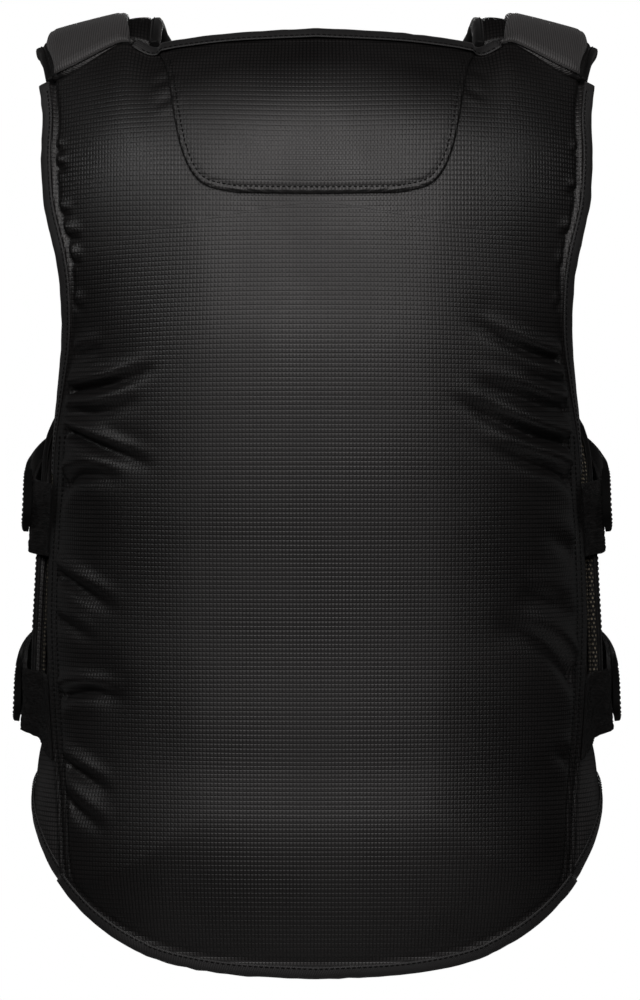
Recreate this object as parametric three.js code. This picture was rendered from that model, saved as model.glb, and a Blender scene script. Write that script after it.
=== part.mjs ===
// Equestrian body protector: a padded back with a tail, a neck yoke and side wings, two padded front halves
// that meet at a zip, flaps over the shoulders, and hook-and-loop straps at the sides.
// Millimetres, +Z up, +Y towards the back, +X towards the wearer's left.
// The origin lies midway between the shoulders, at the height where the protector rests on them. Drops are
// measured down from the tops of the shoulder flaps.
import * as THREE from "three";

// The wearer's trunk, which every piece is laid over
const trunkHalfWidth = 160; // at the waist
const trunkBackDepth = 100; // from the middle of the trunk to the back
const trunkFrontDepth = 104; // from the middle of the trunk to the chest
const trunkSquareness = 2.5; // 2 is an ellipse, higher is boxier
const shoulderRound = 130; // height over which the shoulder rounds into the back
const shoulderMiddle = 135; // half the distance between the middles of the shoulders
const shoulderSlope = 0.257;
const neckEase = 20; // half the width over which the slopes of the two shoulders blend
const skinGap = 1; // between the wearer and the inner faces
const clearance = 0.6; // between pieces that lie on each other
const flapTop = 17; // how far the shoulder flaps' tops stand over the wearer's shoulders

// The back
const backLength = 592; // shoulder to the edge of the tail
const backHalfWidth = trunkHalfWidth * 1.025; // at the side seams
const backThickness = 23;
const edgeThickness = 8; // of a padded piece along a bound edge
const seamThickness = 16; // of the back where the shoulder flaps join it
const seamInner = 0.6; // of backHalfWidth, from where the back's top thickens towards that seam
const foamRoll = 40; // over which the foam rises from an edge to its full thickness
const yokeDepth = 119;
const yokeThickness = 3;
const wingThickness = 3;
const wingLift = 3; // how far the wings stand off the wearer

// The front
const frontLength = 455; // shoulder to the front hem
const frontThickness = 18;
const frontEdgeThickness = 5;
const frontSideRoll = 110; // over which the front thickens from its rear edge
const shoulderThickness = 9;
const liningThickness = 1.6;
const neckHalfWidth = 98;
const neckDrop = 120; // over the skin, shoulder to near the bottom of the neckline
const armholeDrop = 250; // over the skin, shoulder to near the bottom of the armhole
const shoulderPad = { from: 20, to: 130 }; // over the skin, where it thickens into the chest's padding
const frontLift = { from: 50, to: 170 }; // over the skin, where it lifts off the wearer to lie on the wings
const flapThickness = 4;
const flapReach = 88; // over the skin, shoulder to the flap's front end
const flapCorner = 14; // how far the corners of the front end fall back
const flapEdges = { neckAtSeam: 0.68, neckOnTop: 0.7, armAtSeam: 0.955, armOnTop: 1.005 }; // of backHalfWidth

// Tapes, straps and the zip
const bindingWidth = 5.5;
const bindingExtra = 0.8; // how far a binding stands over the edge it covers
const strapWidth = 49;
const strapThickness = 2.4;
const tabThickness = 2.2;
const tabLift = 1.5; // how far a tab's free end stands off its strap
const tabCorner = 13;
const tabRaise = 9; // how far a tab lies above the middle of its strap
const strapRise = 0.3; // per millimetre towards the front
const zipTapeWidth = 24;
const zipTapeThickness = 1.4;
const zipTeethWidth = 6;
const zipTeethDip = 1.5; // how far the teeth lie below the bound edges
const sliderLength = 24;
const sliderHeight = 4;

const black = { shell: 0x1d1b1c, dark: 0x121112, fuzzy: 0x161516, mesh: 0x2a2622 };
const shellFabric = new THREE.MeshStandardMaterial({ color: black.shell, roughness: 0.62, metalness: 0 });
const tapeFabric = new THREE.MeshStandardMaterial({ color: black.dark, roughness: 0.75, metalness: 0 });
const loopFabric = new THREE.MeshStandardMaterial({ color: black.fuzzy, roughness: 0.95, metalness: 0 });
const meshFabric = new THREE.MeshStandardMaterial({ color: black.mesh, roughness: 0.85, metalness: 0 });
const zipPlastic = new THREE.MeshStandardMaterial({ color: black.dark, roughness: 0.4, metalness: 0 });

const quarter = Math.PI / 2;
const degrees = Math.PI / 180;
const archLength = (quarter * (shoulderRound + trunkBackDepth)) / 2; // over the skin, shoulder to back
const { clamp, lerp, smoothstep } = THREE.MathUtils;
const sides = [
  { side: 1, word: "left" },
  { side: -1, word: "right" },
];

// A smooth value from a table with named columns
function read(table, column, at, from) {
  const last = table.length - 1;
  if (at <= table[0][from]) return table[0][column];
  if (at >= table[last][from]) return table[last][column];
  const i = table.findIndex((row) => row[from] > at) - 1;
  const slope = (k) => {
    const [a, b] = [table[Math.max(k - 1, 0)], table[Math.min(k + 1, last)]];
    return (b[column] - a[column]) / (b[from] - a[from]);
  };
  const [p, q] = [table[i], table[i + 1]];
  const span = q[from] - p[from];
  const t = (at - p[from]) / span;
  const rest = span * t * (1 - t) * ((1 - t) * slope(i) - t * slope(i + 1));
  return lerp(p[column], q[column], t * t * (3 - 2 * t)) + rest;
}

// The trunk below the rounding of the shoulder, as shares: fall of backLength, width of trunkHalfWidth,
// back of trunkBackDepth and front of trunkFrontDepth
const girths = [
  { fall: 0.0, width: 1.2, back: 0.98, front: 0.9 },
  { fall: 0.06, width: 1.1, back: 1.01, front: 0.95 },
  { fall: 0.125, width: 1.01, back: 1.03, front: 1.0 },
  { fall: 0.23, width: 0.985, back: 1.01, front: 1.01 },
  { fall: 0.335, width: 1.0, back: 0.97, front: 0.97 },
  { fall: 0.415, width: 1.015, back: 0.95, front: 0.94 },
  { fall: 0.497, width: 1.025, back: 0.95, front: 0.94 },
  { fall: 0.54, width: 1.05, back: 0.95, front: 0.94 },
  { fall: 0.6, width: 1.085, back: 0.97, front: 0.95 },
  { fall: 0.72, width: 1.095, back: 1.02, front: 0.98 },
];

const ridgeHeight = (x) => -flapTop - shoulderSlope * (Math.hypot(x, neckEase) - shoulderMiddle);
const signedPower = (v, p) => Math.sign(v) * Math.abs(v) ** p;

// The trunk's sizes at a level, which is the distance over the skin from the shoulder, positive down the back
// and negative down the front
function girthAt(level) {
  const fall = Math.max(0, Math.abs(level) - archLength) / backLength;
  return {
    width: read(girths, "width", fall, "fall") * trunkHalfWidth,
    back: read(girths, "back", fall, "fall") * trunkBackDepth,
    front: read(girths, "front", fall, "fall") * trunkFrontDepth,
  };
}

function heightAt(x, level) {
  const along = Math.abs(level);
  const round = shoulderRound * (1 - Math.cos((Math.min(1, along / archLength)) * quarter));
  const fall = Math.max(0, along - archLength);
  const sloping = 1 - smoothstep(along, archLength / 2, archLength * 2);
  return lerp(-flapTop, ridgeHeight(x), sloping) - round - fall;
}

// The level of the skin at a place across and a height
function levelAt(x, z) {
  let [low, high] = [0, backLength * 2];
  for (let i = 0; i < 40; i++) {
    const middle = (low + high) / 2;
    if (heightAt(x, middle) > z) low = middle;
    else high = middle;
  }
  return (low + high) / 2;
}

// A point of the skin. turn is the angle round the trunk from the middle of the back, or of the front where
// the level is negative
function skin(turn, level) {
  const girth = girthAt(level);
  const x = girth.width * signedPower(Math.sin(turn), 2 / trunkSquareness);
  const arch = Math.sin(Math.min(1, Math.abs(level) / archLength) * quarter);
  const y = Math.sign(level || 1) * signedPower(Math.cos(turn), 2 / trunkSquareness) * arch;
  return new THREE.Vector3(x, y * (y > 0 ? girth.back : girth.front), heightAt(x, level));
}

function turnAt(x, level) {
  const share = clamp(Math.abs(x) / girthAt(level).width, 0, 1);
  return Math.sign(x) * Math.asin(share ** (trunkSquareness / 2));
}

function outward(turn, level) {
  const [small, short] = [0.004, 0.6];
  const across = skin(turn + small, level).sub(skin(turn - small, level));
  const along = skin(turn, level + short).sub(skin(turn, level - short));
  return across.cross(along).normalize();
}

const over = (turn, level, height) => skin(turn, level).addScaledVector(outward(turn, level), height);

// The rounded rise of foam from an edge: 0 at the edge, 1 past the roll
function rise(distance, roll) {
  const share = 1 - clamp(distance / roll, 0, 1);
  return Math.sqrt(1 - share * share);
}

// The back's side and top edges, as shares of backHalfWidth and backLength
const backSides = [
  { drop: 0.0, half: 1.03 },
  { drop: 0.065, half: 1.01 },
  { drop: 0.115, half: 0.98 },
  { drop: 0.153, half: 0.98 },
  { drop: 0.19, half: 0.972 },
  { drop: 0.212, half: 0.962 },
  { drop: 0.256, half: 0.925 },
  { drop: 0.286, half: 0.907 },
  { drop: 0.33, half: 0.898 },
  { drop: 0.36, half: 0.902 },
  { drop: 0.395, half: 0.915 },
  { drop: 0.448, half: 0.94 },
  { drop: 0.502, half: 0.953 },
  { drop: 0.548, half: 0.965 },
  { drop: 0.63, half: 0.975 },
  { drop: 0.68, half: 0.97 },
  { drop: 0.775, half: 0.952 },
  { drop: 0.82, half: 0.94 },
  { drop: 0.88, half: 0.93 },
  { drop: 0.915, half: 0.915 },
  { drop: 1.0, half: 0.89 },
];
const backTop = [
  { across: 0.0, drop: 0.042 },
  { across: 0.3, drop: 0.046 },
  { across: 0.5, drop: 0.052 },
  { across: 0.59, drop: 0.056 },
  { across: 0.63, drop: 0.055 },
  { across: 0.69, drop: 0.052 },
  { across: 0.73, drop: 0.053 },
  { across: 0.92, drop: 0.077 },
  { across: 1.03, drop: 0.083 },
];
const backHalfAt = (z) => read(backSides, "half", -z / backLength, "drop") * backHalfWidth;
const backTopAt = (x) => -read(backTop, "drop", Math.abs(x) / backHalfWidth, "across") * backLength;

// The tail's hem rises round the body: turn in degrees, rise as a share of backLength
const hemRise = [
  { turn: 0, rise: 0.0 },
  { turn: 15, rise: 0.006 },
  { turn: 30, rise: 0.022 },
  { turn: 45, rise: 0.055 },
  { turn: 60, rise: 0.101 },
  { turn: 72, rise: 0.14 },
  { turn: 82, rise: 0.166 },
  { turn: 95, rise: 0.186 },
  { turn: 125, rise: 0.2 },
];
const hemAt = (turn) =>
  bindingWidth - backLength * (1 - read(hemRise, "rise", Math.abs(turn) / degrees, "turn"));

// Where the back panel is at a share across, from seam to seam, and a share up, from hem to top
function backPlace(across, up) {
  let [x, z] = [across * backHalfWidth, -backLength / 2];
  for (let i = 0; i < 12; i++) {
    z = lerp(hemAt(turnAt(x, levelAt(x, z))), backTopAt(x), up);
    x = across * backHalfAt(z);
  }
  const level = levelAt(x, z);
  return { x, z, level, turn: turnAt(x, level) };
}

// The folds where the back creases over the hips, as shares of backHalfWidth and backLength
const foldWidth = 13;
const folds = [
  { across: 0.93, drop: 0.388, toAcross: 0.69, toDrop: 0.376, depth: 1.5 },
  { across: 0.97, drop: 0.427, toAcross: 0.66, toDrop: 0.463, depth: 3.5 },
  { across: 0.99, drop: 0.51, toAcross: 0.8, toDrop: 0.476, depth: 3 },
  { across: 0.99, drop: 0.575, toAcross: 0.78, toDrop: 0.613, depth: 2.5 },
  { across: 0.98, drop: 0.71, toAcross: 0.75, toDrop: 0.71, depth: 3.5 },
  { across: 0.98, drop: 0.771, toAcross: 0.81, toDrop: 0.791, depth: 2 },
  { across: -0.6, drop: 0.326, toAcross: -0.94, toDrop: 0.358, depth: 2 },
  { across: -0.62, drop: 0.419, toAcross: -0.92, toDrop: 0.446, depth: 3.5 },
  { across: -0.74, drop: 0.463, toAcross: -0.99, toDrop: 0.504, depth: 3 },
  { across: -0.71, drop: 0.641, toAcross: -0.9, toDrop: 0.691, depth: 3.5 },
];

function foldDepth(x, z) {
  let depth = 0;
  for (const fold of folds) {
    const start = new THREE.Vector2(fold.across * backHalfWidth, -fold.drop * backLength);
    const end = new THREE.Vector2(fold.toAcross * backHalfWidth, -fold.toDrop * backLength);
    const run = end.clone().sub(start);
    const share = clamp(new THREE.Vector2(x, z).sub(start).dot(run) / run.lengthSq(), 0, 1);
    const away = start.addScaledVector(run, share).distanceTo(new THREE.Vector2(x, z));
    depth += fold.depth * Math.exp(-((away / foldWidth) ** 2));
  }
  return depth;
}

// How far the back's outer face stands over the skin
function backHeight(x, z, turn) {
  const edge = Math.min(backHalfAt(z) - Math.abs(x), z - hemAt(turn));
  const full = rise(edge, foamRoll);
  const top = backTopAt(x) - z;
  const joined = smoothstep(Math.abs(x), backHalfWidth * seamInner, backHalfWidth * flapEdges.neckOnTop);
  const topThickness = lerp(edgeThickness, lerp(edgeThickness, seamThickness, full), joined);
  const foam = lerp(edgeThickness, backThickness, full) - foldDepth(x, z) * full;
  return skinGap + lerp(topThickness, foam, rise(top, foamRoll * 1.5));
}

// The side and neck edges of a front half, level as a share of armholeDrop or neckDrop, turn in degrees from
// the middle of the front, across as a share of neckHalfWidth
const frontSides = [
  { fall: -0.28, turn: 52.5 },
  { fall: -0.12, turn: 56.5 },
  { fall: 0.0, turn: 59 },
  { fall: 0.24, turn: 54 },
  { fall: 0.44, turn: 46 },
  { fall: 0.62, turn: 43 },
  { fall: 0.78, turn: 45 },
  { fall: 0.92, turn: 51 },
  { fall: 1.03, turn: 59 },
  { fall: 1.12, turn: 69 },
  { fall: 1.19, turn: 79 },
  { fall: 1.25, turn: 85 },
  { fall: 1.33, turn: 89 },
  { fall: 1.42, turn: 91 },
  { fall: 1.55, turn: 92 },
];
const neckline = [
  { fall: 0.0, across: 1.03 },
  { fall: 0.3, across: 1.0 },
  { fall: 0.6, across: 0.9 },
  { fall: 0.85, across: 0.73 },
  { fall: 1.05, across: 0.48 },
  { fall: 1.18, across: 0.24 },
  { fall: 1.24, across: 0.1 },
];
const zipEdge = zipTeethWidth / 2 + bindingWidth + clearance * 2;
const frontTurnAt = (level) => read(frontSides, "turn", -level / armholeDrop, "fall") * degrees;

function frontInnerTurnAt(level) {
  const across = read(neckline, "across", -level / neckDrop, "fall") * neckHalfWidth;
  return turnAt(Math.max(zipEdge, across), level);
}

const frontHemLevel = -levelAt(0, -frontLength + bindingWidth);
const frontSideRise = 0.03; // of frontLength, how far the hem rises to the side

// How far the front's lining stands over the skin: it lies on the wings below the armholes
function frontStand(level) {
  const lap = wingLift + wingThickness + clearance;
  return skinGap + clearance + lap * smoothstep(-level, frontLift.from, frontLift.to);
}

function frontHeight(turn, level) {
  const width = girthAt(level).width;
  const side = (frontTurnAt(level) - Math.abs(turn)) * width;
  const middle = (Math.abs(turn) - frontInnerTurnAt(level)) * width;
  const full = rise(Math.min(middle, level - frontHemLevel), foamRoll);
  const sideFull = smoothstep(side, -frontSideRoll / 8, frontSideRoll);
  const chest = lerp(frontEdgeThickness, frontThickness, Math.min(full, sideFull));
  const shoulder = lerp(frontEdgeThickness, shoulderThickness, rise(Math.min(middle, side), foamRoll / 2));
  const thickness = lerp(shoulder, chest, smoothstep(-level, shoulderPad.from, shoulderPad.to));
  return frontStand(level) + liningThickness + clearance + thickness;
}

// A closed sheet with an outer and an inner face on one grid. point takes a share across, a share up and the
// face, 1 outer and 0 inner
function sheet(across, up, point) {
  const [m, n] = [across.length, up.length];
  const places = [];
  for (const face of [1, 0]) {
    for (const b of up) for (const a of across) places.push(...point(a, b, face).toArray());
  }
  const at = (i, j, face) => (1 - face) * m * n + j * m + i;
  const faces = [];
  const quad = (a, b, c, d) => faces.push(a, b, c, a, c, d);
  for (let j = 0; j + 1 < n; j++) {
    for (let i = 0; i + 1 < m; i++) {
      quad(at(i, j, 1), at(i + 1, j, 1), at(i + 1, j + 1, 1), at(i, j + 1, 1));
      quad(at(i, j, 0), at(i, j + 1, 0), at(i + 1, j + 1, 0), at(i + 1, j, 0));
    }
  }
  for (let i = 0; i + 1 < m; i++) {
    quad(at(i, 0, 0), at(i + 1, 0, 0), at(i + 1, 0, 1), at(i, 0, 1));
    quad(at(i + 1, n - 1, 0), at(i, n - 1, 0), at(i, n - 1, 1), at(i + 1, n - 1, 1));
  }
  for (let j = 0; j + 1 < n; j++) {
    quad(at(0, j + 1, 0), at(0, j, 0), at(0, j, 1), at(0, j + 1, 1));
    quad(at(m - 1, j, 0), at(m - 1, j + 1, 0), at(m - 1, j + 1, 1), at(m - 1, j, 1));
  }
  return facingOut(places, faces);
}

// A closed bar: rings of one section's points along a path, with a flat face at each end
function bar(rings) {
  const [n, k] = [rings.length, rings[0].length];
  const places = rings.flat().flatMap((p) => p.toArray());
  const faces = [];
  for (let i = 0; i + 1 < n; i++) {
    for (let j = 0; j < k; j++) {
      const next = (j + 1) % k;
      const [a, b, c, d] = [i * k + j, i * k + next, (i + 1) * k + next, (i + 1) * k + j];
      faces.push(a, b, c, a, c, d);
    }
  }
  for (let j = 1; j + 1 < k; j++) {
    faces.push(0, j + 1, j);
    faces.push((n - 1) * k, (n - 1) * k + j, (n - 1) * k + j + 1);
  }
  return facingOut(places, faces);
}

// A geometry whose faces point out, whichever way its grid ran
function facingOut(places, faces) {
  let volume = 0;
  const corner = (i) => new THREE.Vector3().fromArray(places, i * 3);
  for (let i = 0; i < faces.length; i += 3) {
    volume += corner(faces[i]).dot(corner(faces[i + 1]).cross(corner(faces[i + 2])));
  }
  if (volume < 0) faces.reverse();
  const geometry = new THREE.BufferGeometry();
  geometry.setAttribute("position", new THREE.Float32BufferAttribute(places, 3));
  geometry.setIndex(faces);
  return geometry;
}

// Even steps from 0 to 1, and steps that crowd towards both ends where the foam rounds over
const steps = (count) => Array.from({ length: count + 1 }, (_, i) => i / count);
const crowded = (count) => steps(count).map((s) => lerp(s, (1 - Math.cos(Math.PI * s)) / 2, 0.8));

const protector = new THREE.Group();

function add(name, geometry, material) {
  geometry.translate(0, 0, flapTop);
  geometry.computeVertexNormals();
  const mesh = new THREE.Mesh(geometry, material);
  mesh.name = name;
  protector.add(mesh);
}

const backRows = [...[0, 0.012, 0.035, 0.07, 0.11, 0.15], ...steps(24).map((s) => lerp(0.19, 0.68, s))];
backRows.push(0.73, 0.78, 0.83, 0.88, 0.92, 0.955, 0.98, 1);

const backColumns = crowded(20).map((s) => s * 2 - 1);

function addBackPanel() {
  const geometry = sheet(backColumns, backRows, (a, b, face) => {
    const place = backPlace(a, b);
    const height = face ? backHeight(place.x, place.z, place.turn) : skinGap;
    return over(place.turn, place.level, height);
  });
  add("back_panel", geometry, shellFabric);
}

// The yoke's half width at a share of its depth, as a share of backHalfWidth
const yokeSides = [
  { depth: 0.0, half: 0.575 },
  { depth: 0.12, half: 0.545 },
  { depth: 0.3, half: 0.52 },
  { depth: 0.55, half: 0.495 },
  { depth: 0.75, half: 0.47 },
  { depth: 0.9, half: 0.43 },
  { depth: 0.97, half: 0.375 },
  { depth: 1.0, half: 0.28 },
];

function addNeckYoke() {
  const across = steps(14).map((s) => s * 2 - 1);
  const rows = [0, 0.05, 0.12, 0.25, 0.4, 0.55, 0.68, 0.8, 0.9, 0.97, 1];
  const geometry = sheet(across, rows, (a, b, face) => {
    const x = a * read(yokeSides, "half", b, "depth") * backHalfWidth;
    const z = lerp(backTopAt(x) - clearance * 3, -yokeDepth, b);
    const level = levelAt(x, z);
    const turn = turnAt(x, level);
    const under = backHeight(x, z, turn) + clearance * 1.5;
    return over(turn, level, under + yokeThickness * face);
  });
  add("neck_yoke", geometry, shellFabric);
}

// Wings run forward from the side seams, under the front halves.
// Where one is, at a share forward and a share up
const wingFront = 114 * degrees;
const wingAcross = 9;
const wingTop = { drop: 0.565, fall: 0.02 };
function wingPlace(forward, up) {
  let [z, turn, level] = [-backLength / 2, quarter, 0];
  for (let i = 0; i < 12; i++) {
    const seam = backHalfAt(z);
    const gap = (clearance * 4) / trunkHalfWidth;
    turn = lerp(turnAt(seam, levelAt(seam, z)) + gap, wingFront, forward);
    z = lerp(hemAt(turn), -backLength * (wingTop.drop + wingTop.fall * forward), up);
    level = levelAt(trunkHalfWidth, z);
  }
  return { turn, level };
}

function addWing(side, name) {
  const geometry = sheet(steps(wingAcross), steps(8), (a, b, face) => {
    const { turn, level } = wingPlace(a, b);
    return over(side * turn, level, skinGap + wingLift + wingThickness * face);
  });
  add(name, geometry, shellFabric);
}

// Where a front half is at a share across, from zip to side, and a share up, from hem to shoulder seam
function frontEndAt(x) {
  const bound = 1 - smoothstep(x, flapEdges.neckAtSeam * backHalfWidth, flapEdges.neckOnTop * backHalfWidth);
  return levelAt(x, backTopAt(x)) - clearance * 5 - bindingWidth * 2 * bound;
}
const frontAcross = 10;
const frontRows = [0, 0.025, 0.08, 0.18, 0.27, 0.35, 0.42, 0.48, 0.54, 0.6, 0.68, 0.77, 0.85, 0.92, 0.97, 1];
function frontPlace(across, up) {
  let [turn, level] = [0, 0];
  const hem = frontHemLevel + frontLength * frontSideRise * smoothstep(across, 0.1, 1);
  for (let i = 0; i < 12; i++) {
    turn = lerp(frontInnerTurnAt(level), frontTurnAt(level), across);
    level = lerp(hem, frontEndAt(skin(turn, level).x), up);
  }
  return { turn, level };
}

function addFrontHalf(side, name) {
  const geometry = sheet(crowded(frontAcross), frontRows, (a, b, face) => {
    const { turn, level } = frontPlace(a, b);
    const inner = frontStand(level) + liningThickness + clearance;
    return over(side * turn, level, face ? frontHeight(turn, level) : inner);
  });
  add(name, geometry, shellFabric);
}

function addFrontLining(side, name) {
  const geometry = sheet(crowded(frontAcross), frontRows, (a, b, face) => {
    const { turn, level } = frontPlace(a, b);
    return over(side * turn, level, frontStand(level) + liningThickness * face);
  });
  add(name, geometry, meshFabric);
}

// The flap runs on from the back's top seam over the shoulder to the chest, on top of the front half
function addShoulderFlap(side, name) {
  const geometry = sheet(steps(5), steps(16), (a, b, face) => {
    const onTop = smoothstep(b, 0, 0.3);
    const neck = lerp(flapEdges.neckAtSeam, flapEdges.neckOnTop, onTop);
    const arm = lerp(flapEdges.armAtSeam, flapEdges.armOnTop, onTop);
    const x = lerp(neck, arm, a) * backHalfWidth;
    const front = flapReach - flapCorner * Math.abs(2 * a - 1) ** 3;
    const level = lerp(levelAt(x, backTopAt(x)) - clearance * 4, -front, b);
    const turn = turnAt(x, level);
    const under = frontHeight(turn, level) + clearance * 2;
    return over(side * turn, level, under + flapThickness * face);
  });
  add(name, geometry, shellFabric);
}

// The straps: drop of the middle at the side seam as a share of backLength, widths as shares of strapWidth
const straps = [
  { place: "upper", drop: 0.535, width: 0.88, tab: 0.96 },
  { place: "lower", drop: 0.743, width: 1, tab: 0.86 },
];
const strapEnd = 140 * degrees;
const tabStart = 84 * degrees;
const tabSeat = 90 * degrees; // from here the strap under a tab lies on the front half
const tabFlat = 106 * degrees; // from here the tab lies flat on it
const tabEnd = 150 * degrees;

// Where a strap leaves the wing and where it is up, both before the front half's edge, and its shortest climb
const strapClimb = { leaves: 8 * degrees, up: 3.8 * degrees, shortest: 2.6 * degrees };

// The height that a strap runs at: over the wing, then over the edge of the front half and along it
function strapHeight(turn, level, start) {
  const wing = skinGap + wingLift + wingThickness + clearance;
  const edge = Math.PI - frontTurnAt(-level);
  const front = Math.min(Math.PI - turn, frontTurnAt(-level));
  const panel = frontHeight(front, -level) + bindingExtra + clearance * 4.5;
  const leaves = Math.max(start, edge - strapClimb.leaves);
  const up = Math.max(leaves + strapClimb.shortest, edge - strapClimb.up);
  return lerp(wing, panel, smoothstep(turn, leaves, up));
}

function addStrap(side, strap, name) {
  const geometry = sheet(steps(18), steps(2), (a, b, face) => {
    const z = -strap.drop * backLength + (b - 0.5) * strap.width * strapWidth;
    const seam = backHalfAt(z);
    const start = turnAt(seam, levelAt(seam, z)) + (clearance * 2.4) / trunkHalfWidth;
    const turn = lerp(start, strapEnd, a);
    const level = levelAt(trunkHalfWidth, z + (turn - start) * trunkHalfWidth * strapRise);
    return over(side * turn, level, strapHeight(turn, level, start) + strapThickness * face);
  });
  add(name, geometry, loopFabric);
}

function addTab(side, strap, name) {
  const geometry = sheet(steps(10), steps(6), (a, b, face) => {
    const width = strap.tab * strapWidth;
    const past = clamp(1 - (width * Math.min(b, 1 - b)) / tabCorner, 0, 1);
    const round = tabCorner * (1 - Math.sqrt(1 - past * past));
    const turn = lerp(tabStart + round / trunkHalfWidth, tabEnd, a);
    const rising = (turn - tabStart) * trunkHalfWidth * strapRise + tabRaise;
    const level = levelAt(trunkHalfWidth, -strap.drop * backLength + rising + (b - 0.5) * width);
    const stand = (1 - smoothstep(turn, tabStart, tabFlat)) * tabLift;
    const under = strapHeight(Math.max(turn, tabSeat), level, 0) + strapThickness + clearance * 2;
    return over(side * turn, level, under + stand + tabThickness * face);
  });
  add(name, geometry, tapeFabric);
}

// A tape along an edge. places are on the edge, with the heights it spans there, and away says on which side
// of the path the tape lies
function addBinding(name, places, away) {
  const points = places.map((p) => over(p.turn, p.level, 0));
  const rings = points.map((point, i) => {
    const [before, after] = [points[Math.max(i - 1, 0)], points[Math.min(i + 1, points.length - 1)]];
    const { turn, level, low, high } = places[i];
    const up = outward(turn, level);
    const out = after.clone().sub(before).cross(up).normalize().multiplyScalar(away);
    const section = [
      [clearance, low],
      [bindingWidth, low + bindingExtra],
      [bindingWidth, high - bindingExtra],
      [clearance, high + bindingExtra],
    ];
    return section.map(([a, b]) => point.clone().addScaledVector(out, a).addScaledVector(up, b));
  });
  add(name, bar(rings), tapeFabric);
}

// The bindings follow the same places as the rims of the panels, so that they lie along them
function addBackBindings() {
  const rim = ({ x, z, level, turn }) => ({ turn, level, low: skinGap, high: backHeight(x, z, turn) });
  const yokeHalf = yokeSides[0].half * backHalfWidth;
  const neck = backColumns
    .map((a) => backPlace(a, 1))
    .filter((place) => Math.abs(place.x) < flapEdges.neckAtSeam * backHalfWidth - bindingWidth / 2)
    .map((place) => {
      const yoke = Math.abs(place.x) < yokeHalf ? yokeThickness : 0;
      return { ...rim(place), high: rim(place).high + yoke };
    });
  addBinding("neck_binding", neck, 1);
  for (const { side, word } of sides) {
    const armhole = backRows.filter((up) => up < 1 && up > 0.46).map((up) => rim(backPlace(side, up)));
    addBinding(`armhole_binding_${word}`, armhole, -side);
  }
  const wingRim = (side) => (forward) => {
    const { turn, level } = wingPlace(forward, 0);
    const low = skinGap + wingLift;
    return { turn: side * turn, level, low, high: low + wingThickness };
  };
  const forward = steps(wingAcross);
  const hem = [
    ...forward.toReversed().map(wingRim(-1)),
    ...backColumns.map((a) => rim(backPlace(a, 0))),
    ...forward.map(wingRim(1)),
  ];
  addBinding("hem_binding", hem, -1);
}

function addFrontBindings(side, word) {
  const rim = (across, up) => {
    const { turn, level } = frontPlace(across, up);
    return { turn: side * turn, level, low: frontStand(level), high: frontHeight(turn, level) };
  };
  const down = frontRows.toReversed().filter((up) => up < 1);
  const hem = crowded(frontAcross).toReversed().filter((across) => across > 0 && across < 1);
  addBinding(`front_binding_${word}`, down.map((up) => rim(0, up)), side);
  const around = [...down.map((up) => rim(1, up)), ...hem.map((across) => rim(across, 0))];
  addBinding(`front_armhole_binding_${word}`, around, -side);
}

// The zip: a tape under the fronts' edges, teeth between them and the slider at the top, in one piece
function addZip() {
  const top = -neckDrop * neckline[neckline.length - 1].fall - bindingWidth;
  const sliderEnd = top - sliderLength;
  const levels = [top, sliderEnd, ...steps(18).map((s) => lerp(sliderEnd - zipTeethDip, frontHemLevel, s))];
  const rings = levels.map((level) => {
    const low = skinGap + zipTapeThickness;
    const edge = frontHeight(frontInnerTurnAt(level), level) - zipTeethDip;
    const high = level < sliderEnd ? edge : edge + sliderHeight;
    const [tapeHalf, teethHalf] = [zipTapeWidth / 2, zipTeethWidth / 2];
    const section = [
      [-tapeHalf, skinGap],
      [tapeHalf, skinGap],
      [tapeHalf, low],
      [teethHalf, low],
      [teethHalf, high],
      [-teethHalf, high],
      [-teethHalf, low],
      [-tapeHalf, low],
    ];
    return section.map(([x, height]) => over(turnAt(x, level), level, height));
  });
  add("front_zip", bar(rings), zipPlastic);
}

addBackPanel();
addNeckYoke();
addBackBindings();
addZip();
for (const { side, word } of sides) {
  addWing(side, `wing_${word}`);
  addFrontHalf(side, `front_half_${word}`);
  addFrontLining(side, `front_lining_${word}`);
  addFrontBindings(side, word);
  addShoulderFlap(side, `shoulder_flap_${word}`);
  for (const strap of straps) {
    addStrap(side, strap, `strap_${strap.place}_${word}`);
    addTab(side, strap, `tab_${strap.place}_${word}`);
  }
}

export default protector;
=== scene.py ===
import math
import bmesh
import bpy
import numpy as np
from mathutils import Matrix


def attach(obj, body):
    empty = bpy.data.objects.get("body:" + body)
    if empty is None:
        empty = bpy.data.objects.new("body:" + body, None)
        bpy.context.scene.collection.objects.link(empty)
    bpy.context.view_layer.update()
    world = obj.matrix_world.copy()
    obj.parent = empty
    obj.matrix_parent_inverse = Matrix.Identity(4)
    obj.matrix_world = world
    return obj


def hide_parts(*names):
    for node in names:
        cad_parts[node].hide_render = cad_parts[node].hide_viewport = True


# Equestrian body protector, held up in the shape it has when worn. Metres, +Z up, +Y towards the wearer's
# back, +X towards the wearer's left. Drops are measured down from the tops of the shoulder bands.
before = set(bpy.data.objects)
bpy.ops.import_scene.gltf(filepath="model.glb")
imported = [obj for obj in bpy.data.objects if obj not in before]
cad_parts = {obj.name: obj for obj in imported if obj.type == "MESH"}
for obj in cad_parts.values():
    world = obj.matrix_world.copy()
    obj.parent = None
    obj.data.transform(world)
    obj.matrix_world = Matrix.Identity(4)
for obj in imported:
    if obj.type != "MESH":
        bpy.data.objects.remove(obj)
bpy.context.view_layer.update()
random = np.random.default_rng(11)
print("frame loaded")

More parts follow.
